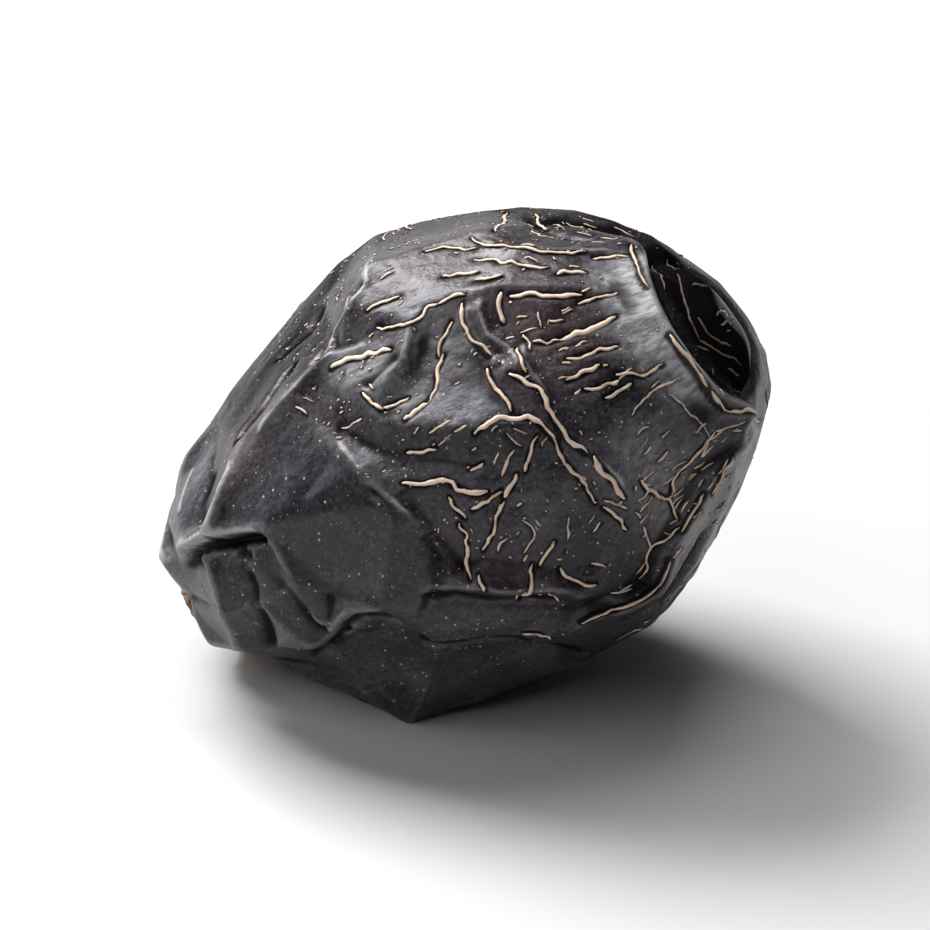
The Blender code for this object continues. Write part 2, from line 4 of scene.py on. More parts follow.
import bmesh
import bpy
import numpy as np
from mathutils import Matrix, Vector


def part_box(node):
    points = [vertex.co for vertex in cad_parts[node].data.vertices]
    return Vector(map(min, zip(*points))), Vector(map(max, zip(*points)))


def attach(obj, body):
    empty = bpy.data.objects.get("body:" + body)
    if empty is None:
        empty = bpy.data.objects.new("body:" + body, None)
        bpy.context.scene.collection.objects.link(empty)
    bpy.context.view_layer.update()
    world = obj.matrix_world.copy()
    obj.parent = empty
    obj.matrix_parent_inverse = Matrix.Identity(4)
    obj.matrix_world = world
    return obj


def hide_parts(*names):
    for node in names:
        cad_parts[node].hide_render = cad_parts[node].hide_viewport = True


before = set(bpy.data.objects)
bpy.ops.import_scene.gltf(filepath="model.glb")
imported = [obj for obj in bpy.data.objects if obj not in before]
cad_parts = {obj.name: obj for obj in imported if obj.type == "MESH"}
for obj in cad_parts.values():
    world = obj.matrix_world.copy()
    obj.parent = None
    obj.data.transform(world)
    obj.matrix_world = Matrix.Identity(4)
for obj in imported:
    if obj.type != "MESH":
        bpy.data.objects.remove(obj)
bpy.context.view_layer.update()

millimetre = 0.001
print("the packed date is loaded")

# The fruit's main sizes in millimetres and angles in degrees. Its tip rises from the ground and
# turns a little toward the viewer.
fruit = {
    "length": 32.0,
    "width": 24.0,
    "bluntness": 2.25,
    "flatSpotDepth": 1.1,
    "tipRise": 36.0,
    "tipTurn": -10.0,
    "seed": 7,
    "squares": 128,
    "closerInView": 0.3,
    "leans": (0.8, 65),
    "halvings": 24,
}

# The line of sight, and where the fruit lies in the picture.
picture = {
    "sightRise": 27.0,
    "centre": (308.4, 503.2),
    "millimetresPerPixel": 0.1085,
    "angles": 2881,
}

# The outline of the fruit, walked in picture pixels from its left point over the top.
outline = [
    (167, 546), (171, 527), (176, 508), (180, 498), (190, 486), (199, 471), (213, 454),
    (228, 436), (241, 422), (250, 412), (259, 407), (267, 399), (282, 394), (298, 390),
    (317, 387), (334, 385), (358, 388), (376, 393), (392, 399), (410, 408), (426, 420),
    (439, 436), (447, 452), (450, 468), (446, 484), (439, 500), (432, 518), (424, 537),
    (410, 557), (394, 577), (376, 586), (359, 596), (345, 600), (313, 613), (298, 617),
    (282, 624), (270, 616), (248, 604), (225, 595), (208, 591), (190, 587), (180, 569), (172, 554),
]

# The skin is drawn tight over these lines of crests and furrows: a lift from the smooth body in
# millimetres, then the run in picture pixels.
drawnLines = {
    "flankEdge": (0.90, [
        (267, 413), (257, 433), (246, 454), (228, 472), (207, 495), (199, 514), (191, 533),
        (180, 541)
    ]),
    "flankMiddle": (-0.30, [(243, 430), (222, 458), (197, 484)]),
    "lip": (0.40, [(190, 534), (202, 532), (215, 531)]),
    "underLip": (-0.40, [(176, 556), (186, 552)]),
    "notch": (-0.55, [(180, 549), (191, 545), (204, 541), (217, 538)]),
    "stripCrest": (0.15, [(193, 553), (199, 572), (205, 586)]),
    "stripFurrow": (-0.25, [(209, 550), (215, 567), (222, 586)]),
    "middleTuck": (-0.30, [(231, 558), (236, 571), (246, 577), (250, 562)]),
    "diagonal": (0.25, [(250, 492), (263, 505), (277, 521), (291, 538), (303, 552)]),
    "diagonalFurrow": (-0.20, [(285, 522), (297, 535), (307, 548)]),
    "lowerCrest": (0.70, [
        (238, 588), (247, 580), (257, 571), (271, 567), (285, 569), (292, 559), (310, 559),
        (330, 561), (347, 559), (360, 563)
    ]),
    "lowerFurrow": (-0.50, [(249, 587), (260, 579), (273, 576), (287, 581)]),
    "ledge": (0.15, [(292, 578), (310, 578), (330, 577), (350, 581)]),
    "ledgeFurrow": (-0.60, [(298, 588), (318, 586), (340, 588), (357, 590)]),
    "ledgeBack": (-0.15, [(300, 567), (320, 568), (345, 568)]),
    "rightRim": (0.55, [
        (362, 576), (380, 568), (396, 560), (401, 546), (410, 530), (420, 511), (433, 492)
    ]),
    "rightRimFurrow": (-0.20, [
        (358, 568), (374, 561), (388, 555), (393, 542), (401, 526), (411, 507)
    ]),
    "lowRim": (0.15, [(386, 577), (399, 566), (412, 549), (427, 517)]),
    "shoulder": (0.75, [
        (384, 403), (388, 419), (394, 437), (403, 452), (413, 466), (424, 477), (438, 481)
    ]),
    "shoulderFoot": (-0.75, [(397, 408), (401, 424), (408, 441), (419, 456), (434, 466)]),
    "shoulderBack": (0.10, [(373, 421), (381, 439), (391, 457), (404, 472), (418, 487)]),
    "disc": (-0.60, [(412, 424), (418, 435), (430, 449)]),
    "crownHollow": (-0.75, [(343, 394), (359, 396), (373, 400)]),
    "crownEdge": (0.20, [(318, 398), (332, 406), (352, 409), (371, 410)]),
    "brow": (0.40, [(284, 440), (294, 433), (306, 428), (322, 424), (346, 424), (366, 425)]),
    "hollow": (-0.60, [(289, 452), (302, 456), (315, 460)]),
    "window": (0.15, [(252, 452), (266, 449)]),
    "windowFoot": (0.30, [(249, 470), (260, 471), (272, 463), (281, 452)]),
    "sheenFloor": (-0.45, [(285, 468), (300, 468), (316, 470)]),
    "sheenRim": (0.25, [(272, 485), (288, 487), (303, 486), (318, 485), (332, 486)]),
    "valley": (-0.30, [(256, 490), (270, 498), (286, 502), (302, 503), (318, 504)]),
    "centre": (0.10, [(282, 513), (298, 512), (312, 517), (320, 530), (322, 545)]),
    "midRidge": (0.30, [(329, 462), (342, 471), (350, 487), (364, 500), (379, 519)]),
    "midValley": (-0.10, [(340, 447), (352, 462), (362, 479), (377, 493), (390, 507)]),
    "centreFurrow": (-0.15, [(336, 500), (347, 515), (360, 534), (372, 545)]),
    "centreLow": (0.05, [(338, 532), (350, 550)]),
}

# Fine folds on the side in view: height and width in millimetres, and the run in picture pixels.
folds = {
    "flankEdge": (0.36, 0.30, [
        (267, 410), (263, 423), (257, 435), (250, 447), (241, 461), (230, 474), (220, 485),
        (210, 498)
    ]),
    "flankFurrow": (-0.75, 0.16, [
        (231, 458), (226, 464), (222, 470), (216, 479), (210, 486), (204, 495)
    ]),
    "flankLine": (-0.22, 0.20, [(257, 432), (250, 443), (243, 453), (234, 463)]),
    "shoulderFurrow": (-0.65, 0.16, [(244, 433), (240, 438), (237, 443), (231, 448), (223, 456)]),
    "shoulderPit": (-0.60, 0.30, [(263, 421), (259, 427), (254, 432)]),
    "flapRim": (0.36, 0.20, [
        (204, 497), (202, 507), (198, 517), (193, 528), (188, 535), (180, 541), (170, 545)
    ]),
    "flapStreak": (0.20, 0.30, [(186, 503), (183, 514), (179, 527)]),
    "flapGroove": (-0.22, 0.22, [(196, 505), (190, 519), (185, 531)]),
    "notch": (-0.95, 0.26, [(182, 545), (190, 541), (200, 539), (210, 537), (218, 536)]),
    "lipEdge": (0.28, 0.25, [(189, 536), (199, 533), (208, 532), (217, 532)]),
    "notchFoot": (0.18, 0.20, [(206, 541), (212, 539), (219, 538)]),
    "notchTuck": (-0.40, 0.22, [(205, 541), (209, 545), (212, 542)]),
    "stripRidge": (0.25, 0.40, [(192, 547), (198, 561), (204, 578), (213, 592)]),
    "stripFurrow": (-0.42, 0.26, [(208, 546), (212, 559), (217, 573), (222, 588)]),
    "diagonal": (0.12, 0.35, [(247, 489), (263, 507), (278, 523), (292, 540), (304, 555)]),
    "diagonalLine": (-0.28, 0.22, [(262, 511), (272, 521), (284, 531), (294, 542), (302, 553)]),
    "middleWave": (-0.12, 0.45, [
        (217, 541), (227, 540), (231, 532), (234, 523), (240, 513), (247, 501)
    ]),
    "middleTuck": (-0.22, 0.28, [
        (219, 549), (229, 561), (236, 573), (245, 578), (248, 570), (248, 557)
    ]),
    "lowerLip": (-0.62, 0.26, [
        (239, 591), (246, 584), (255, 576), (263, 572), (273, 572), (283, 575)
    ]),
    "lowerLipCrest": (0.24, 0.30, [(240, 586), (248, 578), (256, 570), (266, 567), (278, 569)]),
    "ledgeLip": (-0.55, 0.26, [
        (289, 571), (291, 564), (303, 563), (320, 565), (337, 564), (355, 565)
    ]),
    "ledgeCrest": (0.20, 0.30, [(292, 558), (305, 558), (322, 560), (340, 559), (356, 560)]),
    "lowerFurrow": (-0.62, 0.28, [
        (284, 577), (289, 584), (298, 586), (318, 583), (334, 583), (350, 587), (367, 590)
    ]),
    "bellyTuck": (0.24, 0.40, [(260, 606), (271, 604), (278, 612), (282, 622)]),
    "rightRim": (0.30, 0.40, [
        (363, 575), (372, 570), (386, 566), (396, 560), (400, 550), (405, 541), (411, 529),
        (417, 517), (425, 503), (435, 490), (443, 484)
    ]),
    "rimShade": (-0.32, 0.28, [(356, 574), (366, 568), (380, 563), (391, 557)]),
    "outerFurrow": (-0.42, 0.28, [
        (370, 578), (385, 572), (398, 565), (404, 556), (411, 544), (418, 530)
    ]),
    "lowRim": (0.20, 0.30, [(376, 584), (387, 577), (398, 569), (407, 557), (417, 546)]),
    "shoulder": (0.36, 0.40, [
        (383, 400), (387, 417), (393, 437), (399, 447), (408, 459), (418, 471), (428, 479),
        (435, 481), (444, 483)
    ]),
    "midRidge": (0.32, 0.30, [
        (327, 459), (339, 467), (346, 479), (352, 491), (364, 500), (373, 509), (380, 520)
    ]),
    "windowFold": (-0.36, 0.22, [(261, 471), (271, 462), (280, 452)]),
    "sheenRim": (0.16, 0.40, [(292, 487), (303, 484), (315, 486), (330, 483)]),
    "pillar": (0.36, 0.28, [(307, 432), (308, 440), (312, 448), (318, 455), (324, 460)]),
    "hook": (0.36, 0.26, [(316, 427), (314, 436), (318, 446), (326, 452), (333, 460), (338, 466)]),
    "crownEdge": (0.20, 0.30, [(312, 402), (326, 406), (344, 408), (364, 410), (381, 409)]),
    "crownCrease": (-0.40, 0.30, [(338, 391), (344, 397), (355, 401), (370, 404)]),
}

# Relief that a rule gives: far corners and folds away from view, and the net of small ridges.
rule = {
    "farCorners": 150,
    "farCornerShake": 0.07,
    "farCornersStart": -0.05,
    "farLift": 0.5,
    "limbLift": 0.15,
    "liftGrows": (0.1, 0.5),
    "liftFullDepth": 4.0,
    "farFolds": 34,
    "farFoldAlong": (-0.9, 0.95),
    "farFoldHeading": 50.0,
    "farFoldDrift": 26.0,
    "farFoldSteps": 6,
    "farFoldStep": 1.7,
    "farFoldHeight": (0.3, 0.65),
    "farFoldWidth": (0.25, 0.75),
    "foldReach": 6.0,
    "foldEnd": 0.16,
    "foldEndShare": 0.15,
    "limb": (-0.42, -0.05),
    "netSizes": (6.4, 2.9, 1.3),
    "netHeights": (0.75, 0.26, 0.07),
    "netWidths": (1.25, 0.5, 0.25),
    "netInView": (0.06, 0.06, 0.30),
    "netStretch": 0.38,
    "netFloor": 0.4,
    "patchSize": 9.0,
    "patchShare": 0.35,
    "creaseRounding": 0.16,
    "creaseTip": 0.08,
    "waver": 0.25,
    "waverSize": 2.6,
    "lowZone": (-0.92, -0.75),
    "lowZoneRelief": 0.35,
}

# The blunt tip's knob and ring, and the stem end's dish and pleats.
ends = {
    "knobRadius": 4.3,
    "knobRise": 0.3,
    "knobFlat": 0.4,
    "ringDepth": 0.4,
    "ringWidth": 0.55,
    "dishDepth": 1.0,
    "dishReach": 15.0,
    "pleats": 11,
    "pleatDepth": 0.55,
    "pleatSwell": (0.7, 0.6),
    "pleatShake": (2.2, 0.8, 0.02),
    "pleatStart": 16.0,
    "pleatEnd": 52.0,
    "pleatFade": 6.0,
    "reliefStart": 14.0,
    "reliefFull": 20.0,
}


# Vectors over their own lengths.
def unit(vectors):
    return vectors / np.linalg.norm(vectors, axis=-1, keepdims=True)


# From 0 at low to 1 at high: with t as the share of the way, three t squared less two t cubed.
def smoothStep(low, high, values):
    t = np.clip((values - low) / (high - low), 0.0, 1.0)
    return t * t * (3.0 - 2.0 * t)


# A unit vector that rises from the ground by one angle and turns from +X by another.
def turned(rise, turn):
    rise, turn = math.radians(rise), math.radians(turn)
    flat = math.cos(rise)
    return np.array([flat * math.cos(turn), flat * math.sin(turn), math.sin(rise)])


tipAxis = turned(fruit["tipRise"], fruit["tipTurn"])
toViewer = turned(picture["sightRise"], -90.0)
viewRight = np.array([1.0, 0.0, 0.0])
viewUp = np.cross(toViewer, viewRight)
pictureAxes = np.stack([viewRight, viewUp])


# Places of picture pixels across the line of sight, in millimetres from the fruit's middle.
def flatPlaces(pixels):
    offset = (np.asarray(pixels, float) - picture["centre"]) * picture["millimetresPerPixel"]
    return offset * (1.0, -1.0)


# A number from 0 to 1 for each whole-number cell of a lattice, from mixed products of its three
# counts.
def hashed(cells, channel):
    n = cells[..., 0] * 73856093 ^ cells[..., 1] * 19349663 ^ cells[..., 2] * 83492791
    n ^= (channel + fruit["seed"]) * 2654435761
    n = (n ^ (n >> 15)) * 2246822519 & 0xFFFFFFFF
    n = (n ^ (n >> 13)) * 3266489917 & 0xFFFFFFFF
    return ((n ^ (n >> 16)) & 0xFFFFFF) / 0xFFFFFF


# Smooth noise from -1 to 1: the eight hashed corners of a cell, blended by smooth steps.
def waver(points, size, channel):
    scaled = points / size
    cell = np.floor(scaled).astype(np.int64)
    t = smoothStep(0.0, 1.0, scaled - cell)
    total = np.zeros(len(points))
    for corner in itertools.product((0, 1), repeat=3):
        weight = np.prod(np.where(corner, t, 1.0 - t), axis=-1)
        total += weight * hashed(cell + np.array(corner), channel)
    return 2.0 * total - 1.0


# Distance to the border between the two nearest seeds of an uneven lattice: second nearest
# distance less nearest distance. A seed lies in the middle eight tenths of its cell.
def borderDistance(points, size, channel):
    scaled = points / size
    cell = np.floor(scaled).astype(np.int64)
    nearest = np.full(len(points), np.inf)
    second = np.full(len(points), np.inf)
    for step in itertools.product((-1, 0, 1), repeat=3):
        here = cell + np.array(step)
        seed = np.stack([hashed(here, channel + axis) for axis in range(3)], axis=-1)
        distance = np.linalg.norm(here + 0.1 + 0.8 * seed - scaled, axis=-1)
        second = np.minimum(second, np.maximum(nearest, distance))
        nearest = np.minimum(nearest, distance)
    return (second - nearest) * size


# The egg: length along the axis over half the length, and across it over half the width, each to
# the power of bluntness, add up to one.
def eggRadius(directions):
    along = np.abs(directions @ tipAxis)
    across = np.sqrt(np.maximum(1.0 - along**2, 0.0))
    power = fruit["bluntness"]
    shape = (along / (fruit["length"] / 2)) ** power + (across / (fruit["width"] / 2)) ** power
    return shape ** (-1.0 / power)


# Reach of the outline at each angle of the picture: the ray from the middle crosses the straight
# stretch from a to b at the distance (a cross edge) / (ray cross edge). The slack keeps a ray
# through a corner from missing both of its stretches.
def outlineReach(angles, slack=1e-6):
    corners = flatPlaces(outline)
    rayX, rayY = np.cos(angles), np.sin(angles)
    reach = np.zeros(len(angles))
    for a, b in zip(corners, np.roll(corners, -1, axis=0)):
        edge = b - a
        across = rayX * edge[1] - rayY * edge[0]
        length = (a[0] * edge[1] - a[1] * edge[0]) / across
        place = (a[0] * rayY - a[1] * rayX) / across
        crosses = (length > 0.0) & (place >= -slack) & (place <= 1.0 + slack)
        reach = np.where(crosses, np.maximum(reach, length), reach)
    return reach


# Reach of the egg at each angle of the picture: the widest of its points over many leans toward
# the viewer.
def eggReach(angles):
    rays = np.stack([np.cos(angles), np.sin(angles)], axis=-1) @ pictureAxes
    farthest, count = fruit["leans"]
    leans = np.linspace(-farthest, farthest, count)[:, None, None]
    directions = unit(rays + leans * toViewer)
    points = directions * eggRadius(directions)[..., None]
    return np.linalg.norm(points @ pictureAxes.T, axis=-1).max(axis=0)


pictureAngles = np.linspace(-math.pi, math.pi, picture["angles"])
widening = outlineReach(pictureAngles) / eggReach(pictureAngles)


# The body: the egg, widened about the line of sight at each angle of the picture until it fills
# the outline. A direction is narrowed, put on the egg, and widened back.
def bodyRadius(directions):
    flat = directions @ pictureAxes.T
    scale = np.interp(np.arctan2(flat[..., 1], flat[..., 0]), pictureAngles, widening)[..., None]
    depth = (directions @ toViewer)[..., None]
    before = unit(np.concatenate([flat / scale, depth], axis=-1))
    egg = eggRadius(before @ np.concatenate([pictureAxes, toViewer[None]]))
    return egg * np.hypot(np.linalg.norm(before[..., :2] * scale, axis=-1), before[..., 2])


# Directions of the points behind picture pixels, on a surface given by its radius, by halving the
# depth along the line of sight. A pixel past the surface gets the rim.
def behindPixels(pixels, radiusOf):
    flat = flatPlaces(pixels) @ pictureAxes
    near, far = np.zeros(len(flat)), np.full(len(flat), fruit["length"])
    for _ in range(fruit["halvings"]):
        half = (near + far) / 2
        points = flat + half[:, None] * toViewer
        inside = np.linalg.norm(points, axis=-1) < radiusOf(unit(points))
        near, far = np.where(inside, half, near), np.where(inside, far, half)
    return unit(flat + near[:, None] * toViewer)


# Corners that the skin is drawn over: the outline, the drawn lines, and far corners with seeded
# lifts. The far ones are spread evenly, at equal steps of height, each a golden angle on.
def skinCorners():
    rim = behindPixels(outline, bodyRadius)
    corners = [rim * bodyRadius(rim)[:, None]]
    for lift, pixels in drawnLines.values():
        flat = behindPixels(pixels, bodyRadius)
        depth = bodyRadius(flat) * (flat @ toViewer)
        lifts = lift * smoothStep(0.0, rule["liftFullDepth"], depth)
        raised = behindPixels(pixels, lambda around: bodyRadius(around) + lifts)
        corners.append(raised * (bodyRadius(raised) + lifts)[:, None])
    draw = np.random.default_rng(fruit["seed"])
    count = np.arange(rule["farCorners"])
    height = 1.0 - 2.0 * (count + 0.5) / rule["farCorners"]
    angle = count * math.pi * (3.0 - math.sqrt(5.0))
    ring = np.sqrt(1.0 - height**2)
    even = np.stack([ring * np.cos(angle), ring * np.sin(angle), height], axis=-1)
    directions = unit(even + draw.normal(0.0, rule["farCornerShake"], even.shape))
    lifts = draw.uniform(-1.0, 1.0, rule["farCorners"])
    facing = directions @ toViewer
    hidden = facing < rule["farCornersStart"]
    directions, lifts, facing = directions[hidden], lifts[hidden], facing[hidden]
    grown = smoothStep(*rule["liftGrows"], -facing)
    lifts *= rule["limbLift"] + (rule["farLift"] - rule["limbLift"]) * grown
    corners.append(directions * (bodyRadius(directions) + lifts)[:, None])
    return np.concatenate(corners)


# Three-sided planes between neighbouring corners. Neighbours are those of the hull of the
# corners' directions. Both kinds of plane are kept as a normal n with n . point = 1.
def skinPlanes():
    corners = skinCorners()
    directions = unit(corners)
    hull = bmesh.new()
    for index, direction in enumerate(directions):
        hull.verts.new(direction).index = index
    bmesh.ops.convex_hull(hull, input=hull.verts[:])
    threeSided = (face for face in hull.faces if len(face.verts) == 3)
    faces = np.array([[vert.index for vert in face.verts] for face in threeSided])
    hull.free()
    normals = []
    for cloud in (directions, corners):
        a, b, c = cloud[faces[:, 0]], cloud[faces[:, 1]], cloud[faces[:, 2]]
        normal = np.cross(b - a, c - a)
        normals.append(normal / (normal * a).sum(axis=-1, keepdims=True))
    return normals


hullNormals, planeNormals = skinPlanes()


# The drawn skin: a direction leaves the hull through the face with the greatest n . direction,
# and meets that face's plane at the distance 1 / (n . direction). It goes in parts, to save memory.
def drawnRadius(directions, atOnce=20000):
    radius = np.zeros(len(directions))
    for start in range(0, len(directions), atOnce):
        part = directions[start:start + atOnce]
        face = np.argmax(part @ hullNormals.T, axis=1)
        radius[start:start + atOnce] = 1.0 / (part * planeNormals[face]).sum(axis=-1)
    return radius


# The drawn skin with its creases rounded: the mean over a ring of six about each direction.
def softDrawnRadius(directions, rounding):
    sideA = unit(np.cross(directions, [0.36, 0.48, 0.8]))
    sideB = np.cross(directions, sideA)
    step = rounding / (fruit["width"] / 2)
    total = drawnRadius(directions)
    for turn in np.arange(6) * math.pi / 3:
        around = directions + step * (math.cos(turn) * sideA + math.sin(turn) * sideB)
        total = total + drawnRadius(unit(around))
    return total / 7.0


# The place on the body under the pixels of the drawn skin.
def onBody(pixels, radiusOf=drawnRadius):
    under = behindPixels(pixels, radiusOf)
    return under * bodyRadius(under)[:, None]


# For each point: its distance to a run of straight stretches, and how far along it lies.
def nearestOnRun(points, run):
    best = np.full(len(points), np.inf)
    place = np.zeros(len(points))
    lengths = np.linalg.norm(np.diff(run, axis=0), axis=-1)
    starts = np.concatenate([[0.0], np.cumsum(lengths)])
    for k, length in enumerate(lengths):
        edge = run[k + 1] - run[k]
        t = np.clip((points - run[k]) @ edge / length**2, 0.0, 1.0)
        distance = np.linalg.norm(points - run[k] - t[:, None] * edge, axis=-1)
        closer = distance < best
        best = np.where(closer, distance, best)
        place = np.where(closer, (starts[k] + t * length) / starts[-1], place)
    return best, place


# Which points lie within reach of any part of a run, from a ball round its middle.
def nearRun(points, run, reach):
    centre = run.mean(axis=0)
    radius = np.linalg.norm(run - centre, axis=-1).max() + reach
    return np.flatnonzero(np.linalg.norm(points - centre, axis=-1) < radius)


# Points moved by noise, so that what lies on them wavers.
def shakenPoints(points):
    shake = np.stack([waver(points, rule["waverSize"], axis) for axis in range(3)], axis=-1)
    return points + rule["waver"] * shake


# One fold: its height times e to the minus distance over width, with a small round top, faded
# at both ends of its run.
def addFold(relief, points, height, width, run):
    near = nearRun(points, run, rule["foldReach"] * width)
    distance, place = nearestOnRun(points[near], run)
    fade = smoothStep(0.0, rule["foldEnd"], place) * smoothStep(0.0, rule["foldEnd"], 1.0 - place)
    fade = rule["foldEndShare"] + (1.0 - rule["foldEndShare"]) * fade
    tip = rule["creaseTip"]
    relief[near] += height * fade * np.exp(-(np.sqrt(distance**2 + tip**2) - tip) / width)


# A walk over the body from a point: equal steps in a heading that drifts by a drawn angle.
def walkOnBody(draw, point, heading, steps, step, drift):
    run = [point]
    for _ in range(steps):
        outward = unit(point)
        lengthwise = unit(tipAxis - (tipAxis @ outward) * outward)
        sideways = np.cross(outward, lengthwise)
        heading += draw.normal(0.0, drift)
        point = point + step * (math.cos(heading) * lengthwise + math.sin(heading) * sideways)
        point = unit(point) * bodyRadius(unit(point))
        run.append(point)
    return np.array(run)


# Folds away from view: each walks over the body from a seeded place, mostly along the fruit.
def farFolds():
    draw = np.random.default_rng(fruit["seed"] + 1)
    found = []
    while len(found) < rule["farFolds"]:
        direction = unit(draw.normal(0.0, 1.0, 3))
        along = direction @ tipAxis
        low, high = rule["farFoldAlong"]
        if direction @ toViewer > 0.0 or along < low or along > high:
            continue
        point = direction * bodyRadius(direction)
        heading = math.radians(draw.normal(0.0, rule["farFoldHeading"]))
        drift = math.radians(rule["farFoldDrift"])
        run = walkOnBody(draw, point, heading, rule["farFoldSteps"], rule["farFoldStep"], drift)
        height = draw.uniform(*rule["farFoldHeight"]) * draw.choice([-1.0, 1.0])
        found.append((height, draw.uniform(*rule["farFoldWidth"]), run))
    return found


# Degrees between directions and the stem end, by the arc cosine of their product.
def angleFromStem(directions):
    return np.degrees(np.arccos(np.clip(-(directions @ tipAxis), -1.0, 1.0)))


stemAcross = unit(np.cross(tipAxis, toViewer))
stemSideways = np.cross(tipAxis, stemAcross)


# The stem end without folds: the body less a dish, e to the minus squared angle over its reach.
def seatRadius(directions):
    dish = np.exp(-((angleFromStem(directions) / ends["dishReach"]) ** 2))
    return bodyRadius(directions) - ends["dishDepth"] * dish


# Pleats that run out from the cap: the size of a sine of the angle round the stem, with its
# phase shaken by noise, sharp in the furrows and round on the swells.
def pleatHeight(directions):
    angle = np.arctan2(directions @ stemSideways, directions @ stemAcross)
    reach = angleFromStem(directions)
    shake, size, lengthening = ends["pleatShake"]
    circle = np.stack([np.cos(angle), np.sin(angle), lengthening * reach], axis=-1)
    phase = ends["pleats"] * angle / 2 + shake * waver(circle, size, 31)
    power, floor = ends["pleatSwell"]
    swell = np.abs(np.sin(phase)) ** power - floor
    fadeIn = smoothStep(ends["pleatStart"] - ends["pleatFade"], ends["pleatStart"], reach)
    fadeOut = 1.0 - smoothStep(ends["pleatStart"], ends["pleatEnd"], reach)
    return ends["pleatDepth"] * swell * fadeIn * fadeOut


# The tip's round knob, a smooth step down at its radius, less a ring furrow round it.
def knobHeight(points):
    fromAxis = np.linalg.norm(points - (points @ tipAxis)[:, None] * tipAxis, axis=-1)
    edge = ends["knobRadius"]
    knob = ends["knobRise"] * (1.0 - smoothStep(edge * ends["knobFlat"], edge, fromAxis))
    ring = ends["ringDepth"] * np.exp(-(((fromAxis - edge) / ends["ringWidth"]) ** 2))
    return np.where(points @ tipAxis > 0.0, knob - ring, 0.0)


# The whole skin, as a distance from the middle of the fruit: the stem's seat, then the drawn
# skin, the net of ridges, the folds, the pleats and the knob, faded out under the cap.
def skinRadius(directions):
    body = bodyRadius(directions)
    points = directions * body[:, None]
    shaken = shakenPoints(points)
    relief = knobHeight(points) + pleatHeight(directions)
    inView = smoothStep(*rule["limb"], directions @ toViewer)
    stretched = shaken - rule["netStretch"] * (shaken @ tipAxis)[:, None] * tipAxis
    layers = zip(rule["netSizes"], rule["netHeights"], rule["netWidths"], rule["netInView"])
    for layer, (size, height, width, kept) in enumerate(layers):
        gap = borderDistance(stretched, size, 10 + 3 * layer)
        patchy = 1.0 + rule["patchShare"] * (waver(points, rule["patchSize"], 20 + layer) - 1.0)
        ridge = height * (np.exp(-gap / width) - rule["netFloor"])
        relief += (1.0 - (1.0 - kept) * inView) * patchy * ridge
    for height, width, pixels in folds.values():
        addFold(relief, shaken, height, width, onBody(pixels))
    away = np.zeros(len(points))
    for height, width, run in farFolds():
        addFold(away, shaken, height, width, run)
    relief += (1.0 - inView) * away
    low = smoothStep(*rule["lowZone"], directions[:, 2])
    relief *= rule["lowZoneRelief"] + (1.0 - rule["lowZoneRelief"]) * low
    clear = smoothStep(ends["reliefStart"], ends["reliefFull"], angleFromStem(directions))
    drawn = softDrawnRadius(directions, rule["creaseRounding"])
    return seatRadius(directions) + clear * (drawn - body + relief)


# A cube rounded to a ball: two parameters run over each side from -1 to 1, their tangents of an
# eighth turn make the squares even, and equal points of neighbouring sides become one.
def roundedCube(squares):
    steps = np.arange(-squares, squares + 1, 2)
    u, v = np.meshgrid(steps, steps, indexing="ij")
    one = np.full_like(u, squares)
    sides = [(one, u, v), (-one, v, u), (v, one, u), (u, -one, v), (u, v, one), (v, u, -one)]
    lattice = np.concatenate([np.stack(side, axis=-1).reshape(-1, 3) for side in sides])
    corners, index = np.unique(lattice, axis=0, return_inverse=True)
    index = index.reshape(6, squares + 1, squares + 1)
    here, beside = index[:, :-1], index[:, 1:]
    quads = np.stack([here[..., :-1], beside[..., :-1], beside[..., 1:], here[..., 1:]], axis=-1)
    return unit(np.tan(corners / squares * math.pi / 4)), quads.reshape(-1, 4)


def addObject(name, data):
    thing = bpy.data.objects.new(name, data)
    bpy.context.scene.collection.objects.link(thing)
    return thing


# Puts points in millimetres and faces into a new mesh object, shaded smooth.
def addPiece(name, points, faces, material):
    mesh = bpy.data.meshes.new(name)
    mesh.from_pydata((points * millimetre).astype(np.float32), [], faces)
    mesh.materials.append(material)
    mesh.shade_smooth()
    piece = addObject(name, mesh)
    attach(piece, "root")
    return piece


# Gives a piece one value or one vector at each point, for its material to read.
def addAttribute(piece, name, values):
    kind, field = ("FLOAT", "value") if values.ndim == 1 else ("FLOAT_VECTOR", "vector")
    layer = piece.data.attributes.new(name, kind, "POINT")
    layer.data.foreach_set(field, values.astype(np.float32).ravel())


# Mean over each point's neighbours along the edges of the quads.
def neighbourMean(values, quads):
    first, second = quads.ravel(), np.roll(quads, -1, axis=1).ravel()
    count = np.bincount(first) + np.bincount(second)
    total = np.bincount(first, values[second]) + np.bincount(second, values[first])
    return total / count


